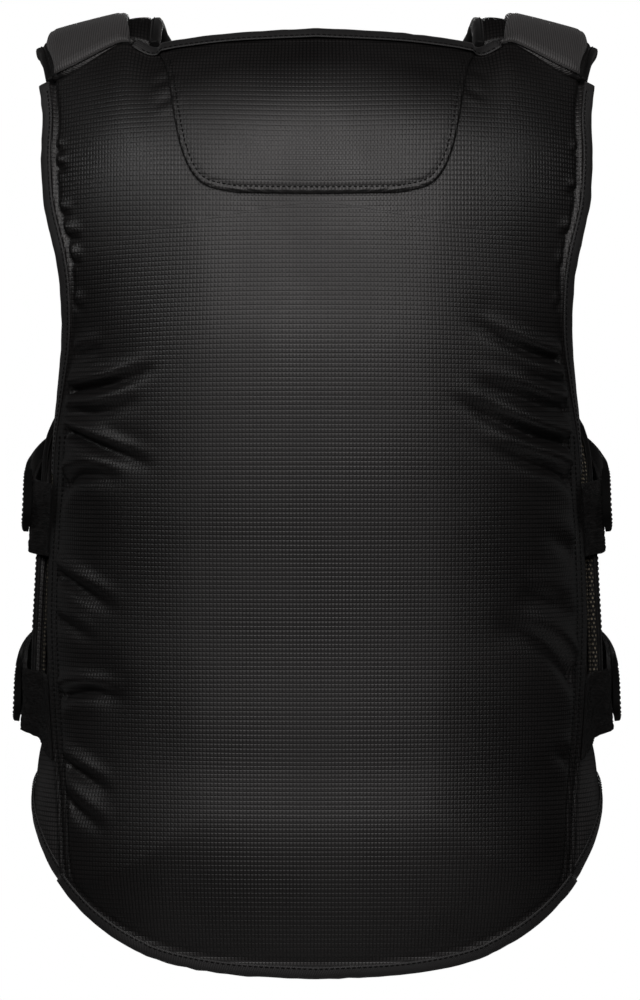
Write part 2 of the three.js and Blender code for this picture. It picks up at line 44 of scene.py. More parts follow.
trunk = {
    "halfWidth": 0.160, "backDepth": 0.100, "frontDepth": 0.104, "squareness": 2.5,
    "shoulderRound": 0.130, "shoulderMiddle": 0.135, "shoulderSlope": 0.257, "neckEase": 0.020,
    "skinGap": 0.001, "clearance": 0.0006, "flapTop": 0.017,
}
back = {
    "length": 0.592, "halfWidth": 0.164, "thickness": 0.023, "edge": 0.008, "seam": 0.016, "seamInner": 0.6,
    "roll": 0.040, "softRoll": 0.085, "rollPower": 1.8, "margin": 0.006, "lapped": 0.0034, "lip": 0.0026,
    "groove": 0.0022, "grooveAt": 0.0046, "grooveWide": 0.0015, "stitchLines": (0.0028, 0.0062),
    "stitchSink": 0.0010, "stitchWide": 0.0011, "crease": 1.9, "hollowWide": 0.013, "archReach": 0.03,
    "grid": (291, 141), "sparse": (146, 71), "drawn": 0.65, "heldEdge": 0.010, "heldHalf": 0.098,
    "heldDrop": 0.128, "fill": 0.7,
}
front = {
    "length": 0.455, "thickness": 0.018, "edge": 0.005, "sideRoll": 0.110, "shoulder": 0.009, "roll": 0.040,
    "lining": 0.0016, "neckHalf": 0.098, "neckDrop": 0.120, "armholeDrop": 0.250, "padFrom": 0.020,
    "padTo": 0.130, "liftFrom": 0.050, "liftTo": 0.170, "sideRise": 0.03, "grid": (150, 72),
    "sparse": (76, 37), "drawn": 0.6, "heldEdge": 0.009, "fill": 0.6,
}
wing = {"thickness": 0.003, "lift": 0.003, "front": 114, "topDrop": 0.565, "topFall": 0.02}
flap = {
    "reach": 0.088, "corner": 0.014, "neckAtSeam": 0.68, "neckOnTop": 0.70, "armAtSeam": 0.955,
    "armOnTop": 1.005, "thickness": 0.004, "width": 0.045, "run": 0.17, "crown": 0.0006, "fill": 0.35,
}
tape = {
    "width": 0.0055, "extra": 0.0008, "ripple": 0.00022, "thread": 0.00034, "pitch": 0.0033, "stitch": 0.0025,
}
zipper = {"tape": 0.0014, "teeth": 0.006, "dip": 0.0015, "pitch": 0.0027, "slider": 0.024}

quarter = math.pi / 2
degree = math.pi / 180
archLength = quarter * (trunk["shoulderRound"] + trunk["backDepth"]) / 2


def columns(names, *rows):  # a table of rows as named columns
    return dict(zip(names.split(), np.array(rows, float).T))


def read(table, column, at, given):  # a cubic through the table's rows, with slopes from their neighbours
    xs, ys = table[given], table[column]
    last = len(xs) - 1
    before, after = np.maximum(np.arange(last + 1) - 1, 0), np.minimum(np.arange(last + 1) + 1, last)
    slopes = (ys[after] - ys[before]) / (xs[after] - xs[before])
    i = np.clip(np.searchsorted(xs, at, side="right") - 1, 0, last - 1)
    span = xs[i + 1] - xs[i]
    t = np.clip((at - xs[i]) / span, 0, 1)
    rest = span * t * (1 - t) * ((1 - t) * slopes[i] - t * slopes[i + 1])
    return lerp(ys[i], ys[i + 1], t * t * (3 - 2 * t)) + rest


def lerp(a, b, t):
    return a + (b - a) * t


def smoothstep(value, low, high):  # 3 t squared less 2 t cubed, as t goes from 0 to 1 between the bounds
    t = np.clip((value - low) / (high - low), 0, 1)
    return t * t * (3 - 2 * t)


def signedPower(value, power):  # the power of the size, with the sign kept
    return np.sign(value) * np.abs(value) ** power


def bell(distance, width):  # 1 at the middle, falling off on both sides
    return np.exp(-((distance / width) ** 2))


def unit(vectors):
    return vectors / np.maximum(np.linalg.norm(vectors, axis=-1, keepdims=True), 1e-12)


def runOf(points):  # how far along a line each of its points lies
    return np.concatenate([[0], np.cumsum(np.linalg.norm(np.diff(points, axis=0), axis=-1))])


def readAlong(at, run, values):  # a line's values at given distances along it
    return np.stack([np.interp(at, run, values[:, k]) for k in range(values.shape[1])], -1)


# The trunk below the shoulder's rounding: width, back and front as shares of its own sizes, fall as a share
# of the back's length
girths = columns(
    "fall width back front",
    (0.0, 1.2, 0.98, 0.9), (0.06, 1.1, 1.01, 0.95), (0.125, 1.01, 1.03, 1.0), (0.23, 0.985, 1.01, 1.01),
    (0.335, 1.0, 0.97, 0.97), (0.415, 1.015, 0.95, 0.94), (0.497, 1.025, 0.95, 0.94),
    (0.54, 1.05, 0.95, 0.94), (0.6, 1.085, 0.97, 0.95), (0.72, 1.095, 1.02, 0.98),
)
backSides = columns(
    "drop half",
    (0.0, 1.03), (0.065, 1.01), (0.115, 0.98), (0.153, 0.98), (0.19, 0.972), (0.212, 0.962), (0.256, 0.925),
    (0.286, 0.907), (0.33, 0.898), (0.36, 0.902), (0.395, 0.915), (0.448, 0.94), (0.502, 0.953),
    (0.548, 0.965), (0.63, 0.975), (0.68, 0.97), (0.775, 0.952), (0.82, 0.94), (0.88, 0.93), (0.915, 0.915),
    (1.0, 0.89),
)
backTop = columns(
    "across drop",
    (0.0, 0.042), (0.3, 0.046), (0.5, 0.052), (0.59, 0.056), (0.63, 0.055), (0.69, 0.052), (0.73, 0.053),
    (0.92, 0.077), (1.03, 0.083),
)
hemRise = columns(
    "turn rise",
    (0, 0.0), (15, 0.006), (30, 0.022), (45, 0.055), (60, 0.101), (72, 0.14), (82, 0.166), (95, 0.186),
    (125, 0.2),
)
yokeSides = columns(
    "depth half",
    (0.0, 0.575), (0.12, 0.545), (0.3, 0.52), (0.55, 0.495), (0.75, 0.47), (0.9, 0.43), (0.97, 0.375),
    (1.0, 0.28),
)
frontSides = columns(
    "fall turn",
    (-0.28, 52.5), (-0.12, 56.5), (0.0, 59), (0.24, 54), (0.44, 46), (0.62, 43), (0.78, 45), (0.92, 51),
    (1.03, 59), (1.12, 69), (1.19, 79), (1.25, 85), (1.33, 89), (1.42, 91), (1.55, 92),
)
neckline = columns(
    "fall across",
    (0.0, 1.03), (0.3, 1.0), (0.6, 0.9), (0.85, 0.73), (1.05, 0.48), (1.18, 0.24), (1.24, 0.1),
)


def girthAt(level):  # the level is the distance over the skin from the shoulder, negative down the front
    fall = np.maximum(0, np.abs(level) - archLength) / back["length"]
    width = read(girths, "width", fall, "fall") * trunk["halfWidth"]
    return width, read(girths, "back", fall, "fall"), read(girths, "front", fall, "fall")


def heightAt(x, level):  # the shoulder's slope fades into a quarter turn down to the back, then straight down
    along = np.abs(level)
    round = trunk["shoulderRound"] * (1 - np.cos(np.minimum(1, along / archLength) * quarter))
    slope = trunk["shoulderSlope"] * (np.hypot(x, trunk["neckEase"]) - trunk["shoulderMiddle"])
    sloping = 1 - smoothstep(along, archLength / 2, archLength * 2)
    return -trunk["flapTop"] - slope * sloping - round - np.maximum(0, along - archLength)


def levelAt(x, z):  # heightAt falls with the level, so halving finds the level of a height
    low, high = np.zeros(np.broadcast(x, z).shape), np.full(np.broadcast(x, z).shape, back["length"] * 2)
    for halving in range(30):
        middle = (low + high) / 2
        above = heightAt(x, middle) > z
        low, high = np.where(above, middle, low), np.where(above, high, middle)
    return (low + high) / 2


def skin(turn, level):  # a squared-off ellipse round the trunk at each level, drawn in over the shoulder
    width, backShare, frontShare = girthAt(level)
    power = 2 / trunk["squareness"]
    x = width * signedPower(np.sin(turn), power)
    arch = np.sin(np.minimum(1, np.abs(level) / archLength) * quarter)
    y = np.where(level < 0, -1, 1) * signedPower(np.cos(turn), power) * arch
    depth = np.where(y > 0, backShare * trunk["backDepth"], frontShare * trunk["frontDepth"])
    return np.stack([x, y * depth, heightAt(x, level)], -1)


def turnAt(x, level):  # the angle at which the level's ellipse reaches x, counted from the back's middle
    share = np.clip(np.abs(x) / girthAt(level)[0], 0, 1)
    return np.sign(x) * np.arcsin(share ** (trunk["squareness"] / 2))


def outward(turn, level):  # the cross product of the skin's two directions
    across = skin(turn + 0.004, level) - skin(turn - 0.004, level)
    along = skin(turn, level + 0.0006) - skin(turn, level - 0.0006)
    return unit(np.cross(across, along))


def over(turn, level, height):  # a point of the skin moved outwards by a height
    place = skin(turn, level) + outward(turn, level) * np.asarray(height)[..., None]
    return place + np.array([0, 0, trunk["flapTop"]])


def rise(distance, roll):  # a quarter circle: 0 at an edge, 1 past the roll
    share = 1 - np.clip(distance / roll, 0, 1)
    return np.sqrt(1 - share * share)


def softRise(distance, roll, power=2.4):  # the same rise under taut cloth, which starts at a slope
    return 1 - (1 - np.clip(distance / roll, 0, 1)) ** power


middleLevels = np.linspace(0, 0.7, 500)
middleRun = runOf(skin(np.zeros(500), middleLevels))


def clothCoordinates(turn, level):  # length round from the middle, and down the middle to the same height
    shares = np.linspace(0, 1, 25)
    points = np.stack([skin(turn * s, level) for s in shares])
    run = np.linalg.norm(np.diff(points, axis=0), axis=-1).sum(0)
    rows = levelAt(np.zeros(np.shape(level)), heightAt(skin(turn, level)[..., 0], level))
    return np.stack([np.sign(turn) * run + 0.4, 1.0 - np.interp(rows, middleLevels, middleRun)], -1)


def backHalfAt(z):
    return read(backSides, "half", -z / back["length"], "drop") * back["halfWidth"]


def backTopAt(x):
    return -read(backTop, "drop", np.abs(x) / back["halfWidth"], "across") * back["length"]


def hemAt(turn):  # the hem's height: its rise from the tail's tip, with room for the binding
    lift = read(hemRise, "rise", np.abs(turn) / degree, "turn")
    return tape["width"] - back["length"] * (1 - lift)


def backPlace(across, up):  # from seam to seam and from hem to top; each pass brings x and z closer together
    x, z = across * back["halfWidth"], np.full(np.shape(across), -back["length"] / 2)
    for settling in range(12):
        z = lerp(hemAt(turnAt(x, levelAt(x, z))), backTopAt(x), up)
        x = across * backHalfAt(z)
    level = levelAt(x, z)
    return x, z, turnAt(x, level), level


# The back's creases: depth and width in millimetres, then points as shares of the half width and the length
creases = [
    (1.2, 5, [(0.864, 0.357), (0.797, 0.354)]),
    (3.4, 5, [(0.912, 0.396), (0.808, 0.394), (0.718, 0.390), (0.618, 0.380)]),
    (2.0, 6, [(0.852, 0.416), (0.774, 0.420), (0.696, 0.414), (0.637, 0.408)]),
    (3.4, 5, [(0.923, 0.434), (0.830, 0.445), (0.741, 0.456), (0.633, 0.467)]),
    (3.0, 6, [(0.953, 0.517), (0.919, 0.498), (0.875, 0.486), (0.808, 0.482), (0.718, 0.485)]),
    (2.8, 6, [(0.964, 0.581), (0.864, 0.597), (0.759, 0.613)]),
    (1.2, 5, [(0.912, 0.636), (0.830, 0.647)]),
    (2.8, 5.5, [(0.934, 0.716), (0.864, 0.709), (0.785, 0.707), (0.715, 0.711)]),
    (2.4, 5.5, [(0.934, 0.781), (0.875, 0.789), (0.785, 0.803)]),
    (1.8, 6, [(0.919, 0.817), (0.852, 0.832), (0.785, 0.844)]),
    (2.6, 5, [(-0.931, 0.365), (-0.800, 0.360), (-0.696, 0.350), (-0.592, 0.337)]),
    (1.6, 5, [(-0.875, 0.387), (-0.785, 0.383)]),
    (2.4, 6, [(-0.912, 0.414), (-0.815, 0.413), (-0.726, 0.403), (-0.607, 0.393)]),
    (3.2, 5.5, [(-0.934, 0.453), (-0.785, 0.445), (-0.666, 0.432), (-0.540, 0.415)]),
    (3.0, 6, [(-0.979, 0.512), (-0.934, 0.494), (-0.860, 0.480), (-0.756, 0.471), (-0.637, 0.459)]),
    (1.5, 8, [(-0.979, 0.579), (-0.890, 0.560), (-0.815, 0.548)]),
    (1.4, 8, [(-0.852, 0.619), (-0.763, 0.609)]),
    (3.0, 7, [(-0.957, 0.711), (-0.890, 0.684), (-0.830, 0.663), (-0.756, 0.649), (-0.681, 0.643)]),
    (1.3, 6, [(-0.949, 0.789), (-0.875, 0.777)]),
    (2.0, 3.5, [(1.001, 0.150), (0.949, 0.152)]),
    (2.2, 3.5, [(1.001, 0.166), (0.942, 0.169)]),
    (2.2, 3.5, [(0.986, 0.213), (0.927, 0.216)]),
    (2.6, 4, [(0.964, 0.238), (0.897, 0.240)]),
    (2.2, 4, [(0.949, 0.259), (0.890, 0.263)]),
    (1.6, 4, [(0.919, 0.304), (0.868, 0.308)]),
    (1.8, 3.5, [(-1.009, 0.150), (-0.957, 0.153)]),
    (2.2, 3.5, [(-1.001, 0.191), (-0.942, 0.193)]),
    (2.4, 4, [(-0.986, 0.234), (-0.920, 0.236)]),
    (2.2, 4, [(-0.964, 0.265), (-0.905, 0.268)]),
    (1.6, 4, [(-0.934, 0.304), (-0.882, 0.308)]),
    (0.4, 3.4, [(0.535, 0.071), (0.574, 0.075)]),
    (0.5, 3.4, [(0.525, 0.092), (0.566, 0.096)]),
    (0.4, 3.4, [(0.512, 0.113), (0.551, 0.117)]),
    (0.4, 3.4, [(-0.555, 0.080), (-0.590, 0.083)]),
    (0.4, 3.4, [(-0.540, 0.104), (-0.575, 0.108)]),
]
# The broad hollows that the creases run in: ends as shares, depth in metres
hollows = [
    (0.93, 0.388, 0.69, 0.376, 0.0015), (0.97, 0.427, 0.66, 0.463, 0.0035), (0.99, 0.51, 0.8, 0.476, 0.003),
    (0.99, 0.575, 0.78, 0.613, 0.0025), (0.98, 0.71, 0.75, 0.71, 0.0035), (0.98, 0.771, 0.81, 0.791, 0.002),
    (-0.6, 0.326, -0.94, 0.358, 0.002), (-0.62, 0.419, -0.92, 0.446, 0.0035),
    (-0.74, 0.463, -0.99, 0.504, 0.003), (-0.71, 0.641, -0.9, 0.691, 0.0035),
]


def spread(points, count):  # points at even steps along a line of points
    run = runOf(points)
    return readAlong(np.linspace(0, run[-1], count), run, points)


def rounded(points, passes=3):  # a smoother line: each pass cuts every corner at a quarter and three quarters
    points = np.asarray(points, float)
    for cut in range(passes):
        a, b = points[:-1], points[1:]
        cuts = np.stack([lerp(a, b, 0.25), lerp(a, b, 0.75)], 1).reshape(-1, 2)
        points = np.concatenate([points[:1], cuts, points[-1:]])
    return points


def creaseHeight(x, z):
    # A furrow along each line, with a fold standing beside it: bells of the signed distance from the line,
    # faded towards its inner end
    size = np.array([back["halfWidth"], -back["length"]])
    total = np.zeros(np.shape(x))
    for depth, width, points in creases:
        points = np.array(points)
        points = np.concatenate([points, points[-1:] * 1.9 - points[-2:-1] * 0.9])
        line = spread(rounded(points * size), 36)
        reach = width * 0.005
        low, high = line.min(0) - reach, line.max(0) + reach
        near = (x > low[0]) & (x < high[0]) & (z > low[1]) & (z < high[1])
        place = np.stack([x[near], z[near]], -1)[:, None] - line
        nearest = np.argmin((place**2).sum(-1), axis=1)
        along = unit(np.gradient(line, axis=0))[nearest]
        gap = place[np.arange(len(nearest)), nearest]
        distance = np.hypot(gap[:, 0], gap[:, 1])
        side = np.sign(along[:, 0] * gap[:, 1] - along[:, 1] * gap[:, 0]) * (1 if points[0][0] < 0 else -1)
        across = side * distance * 1300 / width
        share = nearest / (len(line) - 1)
        fade = smoothstep(share, -0.2, 0.15) * (1 - smoothstep(share, 0.35, 1.0))
        shape = 0.75 * np.exp(-((across - 1.6) ** 2) / 1.3) - np.exp(-((across + 0.1) ** 2) / 0.8)
        shape += 0.25 * np.exp(-((across + 2.2) ** 2) / 2)
        total[near] += shape * fade * depth / 1000 * back["crease"]
    return total


def hollowDepth(x, z):  # a bell of the distance from each line's nearest point
    total = np.zeros(np.shape(x))
    for across, drop, toAcross, toDrop, depth in hollows:
        start = np.array([across * back["halfWidth"], -drop * back["length"]])
        run = np.array([toAcross * back["halfWidth"], -toDrop * back["length"]]) - start
        share = np.clip(((x - start[0]) * run[0] + (z - start[1]) * run[1]) / (run @ run), 0, 1)
        away = np.hypot(x - start[0] - share * run[0], z - start[1] - share * run[1])
        total += depth * bell(away, back["hollowWide"])
    return total


def archEase(x, z):
    # The shoulder's arch and the trunk's girth both change along one line. This is how far a running mean
    # over that line lies below the skin: for the arch the cube of the distance into the mean's reach less the
    # arch's own parabola, and for the girth the jump in slope times that distance's square less the distance
    reach, bend = back["archReach"], trunk["backDepth"] / trunk["shoulderRound"] ** 2
    below = levelAt(x, z) - archLength
    into = -below * quarter * trunk["shoulderRound"] / archLength
    arch = bend * (np.clip(reach + into, 0, 2 * reach) ** 3 / (12 * reach) - np.clip(into, 0, reach) ** 2 / 2)
    line, step = np.full(np.shape(x), archLength), 0.003
    jump = (skin(turnAt(x, line + step), line + step) - skin(turnAt(x, line), line))[..., 1] / step
    return arch - jump * (np.clip(reach + below, 0, 2 * reach) ** 2 / (4 * reach) - np.clip(below, 0, reach))


def backHeight(x, z, turn, detail=True):
    # Foam that rises from the bound edges; with detail, a flat stitched margin, a pulled-in line beside the
    # binding and the creases
    edge = np.minimum(backHalfAt(z) - np.abs(x), z - hemAt(turn))
    top = backTopAt(x) - z
    drop = -z / back["length"]
    joined = smoothstep(np.abs(x) / back["halfWidth"], back["seamInner"], flap["neckOnTop"])
    if detail:
        margin = lerp(back["lapped"], back["margin"], smoothstep(drop, 0.4, 0.47))
        full = softRise(edge - margin, back["softRoll"], back["rollPower"])
        overTop = softRise(top - back["lapped"], back["roll"] * 1.5)
    else:
        full, overTop = rise(edge, back["roll"]), rise(top, back["roll"] * 1.5)
    topThickness = lerp(back["edge"], lerp(back["edge"], back["seam"], full), joined)
    foam = lerp(back["edge"], back["thickness"], full) - hollowDepth(x, z) * full
    height = trunk["skinGap"] + lerp(topThickness, foam, overTop)
    if detail:
        height -= archEase(x, z)
        groove = bell(edge - back["grooveAt"], back["grooveWide"]) * (1 - smoothstep(drop, 0.24, 0.34))
        height -= back["groove"] * groove
        height += creaseHeight(x, z) * smoothstep(edge, margin, margin + 0.004) * smoothstep(top, 0.003, 0.01)
        stitched = sum(bell(edge - line, back["stitchWide"]) for line in back["stitchLines"])
        height -= back["stitchSink"] * stitched * smoothstep(drop, 0.42, 0.47)
    return height


def frontTurnAt(level):
    return read(frontSides, "turn", -level / front["armholeDrop"], "fall") * degree


def frontInnerTurnAt(level):  # the neckline's distance from the middle, and below it the zip's edge
    across = read(neckline, "across", -level / front["neckDrop"], "fall") * front["neckHalf"]
    zipEdge = zipper["teeth"] / 2 + tape["width"] + trunk["clearance"] * 2
    return turnAt(np.maximum(zipEdge, across), level)


frontHemLevel = -float(levelAt(np.array(0.0), np.array(-front["length"] + tape["width"])))


def frontStand(level):  # the front half stands clear of the skin, and lower down of the wing as well
    lap = wing["lift"] + wing["thickness"] + trunk["clearance"]
    lapped = smoothstep(-level, front["liftFrom"], front["liftTo"])
    return trunk["skinGap"] + trunk["clearance"] + lap * lapped


def frontHeight(turn, level):  # foam that is thin at the rear edge and thickens towards the chest
    width = girthAt(level)[0]
    side = (frontTurnAt(level) - np.abs(turn)) * width
    middle = (np.abs(turn) - frontInnerTurnAt(level)) * width
    full = rise(np.minimum(middle, level - frontHemLevel), front["roll"])
    sideFull = smoothstep(side, -front["sideRoll"] / 8, front["sideRoll"])
    chest = lerp(front["edge"], front["thickness"], np.minimum(full, sideFull))
    shoulder = lerp(front["edge"], front["shoulder"], rise(np.minimum(middle, side), front["roll"] / 2))
    thickness = lerp(shoulder, chest, smoothstep(-level, front["padFrom"], front["padTo"]))
    return frontStand(level) + front["lining"] + trunk["clearance"] + thickness


def frontPlace(across, up):  # from the zip to the rear edge and from the hem to the back's top edge
    turn, level = np.zeros(np.shape(across)), np.zeros(np.shape(across))
    hem = frontHemLevel + front["length"] * front["sideRise"] * smoothstep(across, 0.1, 1)
    for settling in range(12):
        turn = lerp(frontInnerTurnAt(level), frontTurnAt(level), across)
        x = skin(turn, level)[..., 0]
        bound = 1 - smoothstep(x / back["halfWidth"], flap["neckAtSeam"], flap["neckOnTop"])
        end = levelAt(x, backTopAt(x)) - trunk["clearance"] * 2 - tape["width"] * 1.3 * bound
        level = lerp(hem, end, up)
    return turn, level


def wingPlace(forward, up):  # from the back's side seam forward and from the hem up
    z = np.full(np.shape(forward), -back["length"] / 2)
    gap = trunk["clearance"] * 0.2 / trunk["halfWidth"]
    for settling in range(12):
        seam = backHalfAt(z)
        turn = lerp(turnAt(seam, levelAt(seam, z)) + gap, wing["front"] * degree, forward)
        z = lerp(hemAt(turn), -back["length"] * (wing["topDrop"] + wing["topFall"] * forward), up)
    return turn, levelAt(np.full(z.shape, trunk["halfWidth"]), z)


def inScene(name, data):  # a new object
    obj = bpy.data.objects.new(name, data)
    bpy.context.scene.collection.objects.link(obj)
    return obj


def gridFaces(rows, count, wrap=False):  # the four corners of each cell of a grid of points
    j, i = np.meshgrid(np.arange(rows - 1), np.arange(count if wrap else count - 1), indexing="ij")
    following = (i + 1) % count if wrap else i + 1
    corners = [j * count + i, j * count + following, (j + 1) * count + following, (j + 1) * count + i]
    return np.stack(corners, -1).reshape(-1, 4)


def piece(name, points, faces, corners, materials, nodes=(), faceMaterials=None):
    # A mesh piece from points, four-cornered faces and a cloth coordinate for each corner. The sum of the
    # corners' triple products is positive where faces point outwards, and otherwise they are turned
    a, b, c, d = (points[faces[:, k]] for k in range(4))
    volume = (a * (np.cross(b, c) + np.cross(c, d))).sum()
    if volume < 0:
        faces, corners = faces[:, ::-1], corners[:, ::-1]
    mesh = bpy.data.meshes.new(name)
    mesh.from_pydata(points, [], faces)
    layer = mesh.uv_layers.new(name="cloth")
    layer.data.foreach_set("uv", np.ascontiguousarray(corners, np.float32).ravel())
    mesh.polygons.foreach_set("use_smooth", np.ones(len(faces), bool))
    for material in materials:
        mesh.materials.append(material)
    if faceMaterials is not None:
        mesh.polygons.foreach_set("material_index", faceMaterials.astype(np.int32))
    mesh.update()
    obj = inScene(name, mesh)
    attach(obj, "root")
    if nodes:
        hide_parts(*nodes)
    return obj


def closedSheet(name, outer, inner, cloth, materials, nodes=(), inside=0, rim=0):
    # Two grids of points with one outline, joined along it
    rows, count = outer.shape[:2]
    total = rows * count
    index = np.arange(total).reshape(rows, count)
    edge = np.concatenate([index[0, :-1], index[:-1, -1], index[-1, :0:-1], index[:0:-1, 0]])
    following = np.roll(edge, -1)
    faces = gridFaces(rows, count)
    rimFaces = np.stack([following, edge, edge + total, following + total], -1)
    allFaces = np.concatenate([faces, faces[:, ::-1] + total, rimFaces])
    points = np.concatenate([outer.reshape(-1, 3), inner.reshape(-1, 3)])
    flat = np.concatenate([cloth.reshape(-1, 2)] * 2)
    corners = flat[allFaces]
    corners[-len(edge):, 2:, 0] += 0.007  # so that the rim keeps a strip of cloth of its own
    rims = np.broadcast_to(rim, (rows, count)).ravel()[edge]
    use = np.concatenate([np.zeros(len(faces)), np.full(len(faces), inside), rims])
    return piece(name, points, allFaces, corners, materials, nodes, use)


def closedBar(name, rings, cloth, materials, nodes=()):
    # Rings of points along a path, each end drawn together to one point
    rows, count = rings.shape[:2]
    ends = [np.repeat(rings[k].mean(0)[None], count, 0)[None] for k in (0, -1)]
    near = [lerp(ends[0], rings[:1], 0.6), lerp(ends[1], rings[-1:], 0.6)]
    rings = np.concatenate([ends[0], near[0], rings, near[1], ends[1]])
    cloth = np.concatenate([cloth[:1], cloth[:1], cloth, cloth[-1:], cloth[-1:]])
    faces = gridFaces(rows + 4, count, wrap=True)
    corners = cloth.reshape(-1, 2)[gridFaces(rows + 4, count + 1)]
    obj = piece(name, rings.reshape(-1, 3), faces, corners, materials, nodes)
    joinDoubles(obj)
    return obj


def joinDoubles(obj):  # points in one place become one
    work = bmesh.new()
    work.from_mesh(obj.data)
    bmesh.ops.remove_doubles(work, verts=work.verts, dist=1e-7)
    work.to_mesh(obj.data)
    work.free()


def softenEdges(obj, width, angle=40):
    bevel = obj.modifiers.new("softened edges", "BEVEL")
    bevel.width, bevel.segments, bevel.limit_method, bevel.angle_limit = width, 3, "ANGLE", angle * degree
    bevel.harden_normals = False


def stitches(name, lines):
    # Short threads at even steps along each line: four rings of five points, the end rings sunk in the cloth.
    # Each row: place along the stitch, height and thickness, as shares of its length and of the thread
    shape = np.array([(-0.5, -0.9, 0.45), (-0.28, 0.35, 1.0), (0.28, 0.35, 1.0), (0.5, -0.9, 0.45)])
    angle = np.linspace(0, 2 * math.pi, 6)[:-1]
    points = []
    for line, normals in lines:
        run = runOf(line)
        at = (np.arange(int(run[-1] / tape["pitch"])) + 0.5) * tape["pitch"]
        middle, up = readAlong(at, run, line), unit(readAlong(at, run, normals))
        along = unit(readAlong(at, run, np.gradient(line, axis=0)))
        side = unit(np.cross(along, up))
        a = shape[:, 0][None, :, None, None] * tape["stitch"] * along[:, None, None]
        b = (shape[:, 1][:, None] + shape[:, 2][:, None] * np.cos(angle))[None, ..., None] * tape["thread"]
        c = (shape[:, 2][:, None] * np.sin(angle))[None, ..., None] * tape["thread"] * 1.15
        points.append(middle[:, None, None] + a + b * up[:, None, None] + c * side[:, None, None])
    points = np.concatenate(points)
    count = len(points)
    one = gridFaces(4, 5, wrap=True)
    base = (np.arange(count) * 20)[:, None, None]
    faces = (one[None] + base).reshape(-1, 4)
    caps = np.array([[0, 1, 2, 3], [3, 4, 0, 0], [18, 17, 16, 15], [15, 19, 18, 18]])
    faces = [tuple(f) for f in faces] + [
        tuple(dict.fromkeys(f)) for f in (caps[None] + base).reshape(-1, 4).tolist()
    ]
    mesh = bpy.data.meshes.new(name)
    mesh.from_pydata(points.reshape(-1, 3), [], faces)
    mesh.polygons.foreach_set("use_smooth", np.ones(len(faces), bool))
    mesh.materials.append(thread)
    mesh.update()
    obj = inScene(name, mesh)
    turnOut(obj)
    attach(obj, "root")


def turnOut(obj):  # each closed thread's faces made to point away from its middle
    work = bmesh.new()
    work.from_mesh(obj.data)
    bmesh.ops.recalc_face_normals(work, faces=work.faces)
    work.to_mesh(obj.data)
    work.free()


def nodesOf(material):
    material.use_nodes = True
    tree = material.node_tree
    return tree, tree.nodes["Principled BSDF"]


def mathNode(tree, operation, a, b=None, c=None):
    node = tree.nodes.new("ShaderNodeMath")
    node.operation = operation
    for socket, value in zip(node.inputs, (a, b, c)):
        if isinstance(value, (int, float)):
            socket.default_value = value
        elif value is not None:
            tree.links.new(value, socket)
    return node.outputs[0]


def ramp(tree, value, low, high, toLow=0.0, toHigh=1.0):
    node = tree.nodes.new("ShaderNodeMapRange")
    node.interpolation_type = "SMOOTHSTEP"
    tree.links.new(value, node.inputs["Value"])
    for socket, number in zip(("From Min", "From Max", "To Min", "To Max"), (low, high, toLow, toHigh)):
        node.inputs[socket].default_value = number
    return node.outputs["Result"]


def clothPlace(tree, cellWide, cellTall, turned=0.0):  # the piece's own cloth coordinates, counted in cells
    place = tree.nodes.new("ShaderNodeUVMap")
    place.uv_map = "cloth"
    mapping = tree.nodes.new("ShaderNodeMapping")
    mapping.inputs["Rotation"].default_value[2] = turned * degree
    mapping.inputs["Scale"].default_value = (1 / cellWide, 1 / cellTall, 1)
    tree.links.new(place.outputs["UV"], mapping.inputs["Vector"])
    split = tree.nodes.new("ShaderNodeSeparateXYZ")
    tree.links.new(mapping.outputs["Vector"], split.inputs["Vector"])
    return place.outputs["UV"], split.outputs["X"], split.outputs["Y"]


def noise(tree, place, scale, detail=2.0, roughness=0.5):
    node = tree.nodes.new("ShaderNodeTexNoise")
    node.inputs["Scale"].default_value = scale
    node.inputs["Detail"].default_value = detail
    node.inputs["Roughness"].default_value = roughness
    tree.links.new(place, node.inputs["Vector"])
    return node.outputs["Fac"]


def colourBetween(tree, share, dark, light):
    node = tree.nodes.new("ShaderNodeMix")
    node.data_type = "RGBA"
    node.inputs["A"].default_value = (*dark, 1)
    node.inputs["B"].default_value = (*light, 1)
    tree.links.new(share, node.inputs["Factor"])
    return node.outputs["Result"]


def bump(tree, height, depth, strength=1.0):
    node = tree.nodes.new("ShaderNodeBump")
    node.inputs["Strength"].default_value = strength
    node.inputs["Distance"].default_value = depth
    tree.links.new(height, node.inputs["Height"])
    return node.outputs["Normal"]


def newCloth(name, wide, tall, turned=0.0):
    material = bpy.data.materials.new(name)
    tree, shader = nodesOf(material)
    return material, tree, shader, *clothPlace(tree, wide, tall, turned)


def dress(tree, shader, look, colour, height, uneven, less, more):
    # Colour and relief, and a roughness that follows a noise, from a little less than the look's to a little
    # more
    rough = ramp(tree, uneven, 0.3, 0.7, look["rough"] - less, look["rough"] + more)
    relief = bump(tree, height, look["depth"], look["strength"])
    for name, socket in (("Base Color", colour), ("Normal", relief), ("Roughness", rough)):
        tree.links.new(socket, shader.inputs[name])
    shader.inputs["Roughness"].default_value = look["rough"]
    shader.inputs["Specular IOR Level"].default_value = look["specular"]
    shader.inputs["Sheen Weight"].default_value = look["sheen"]
    shader.inputs["Sheen Roughness"].default_value = look.get("nap", 0.5)


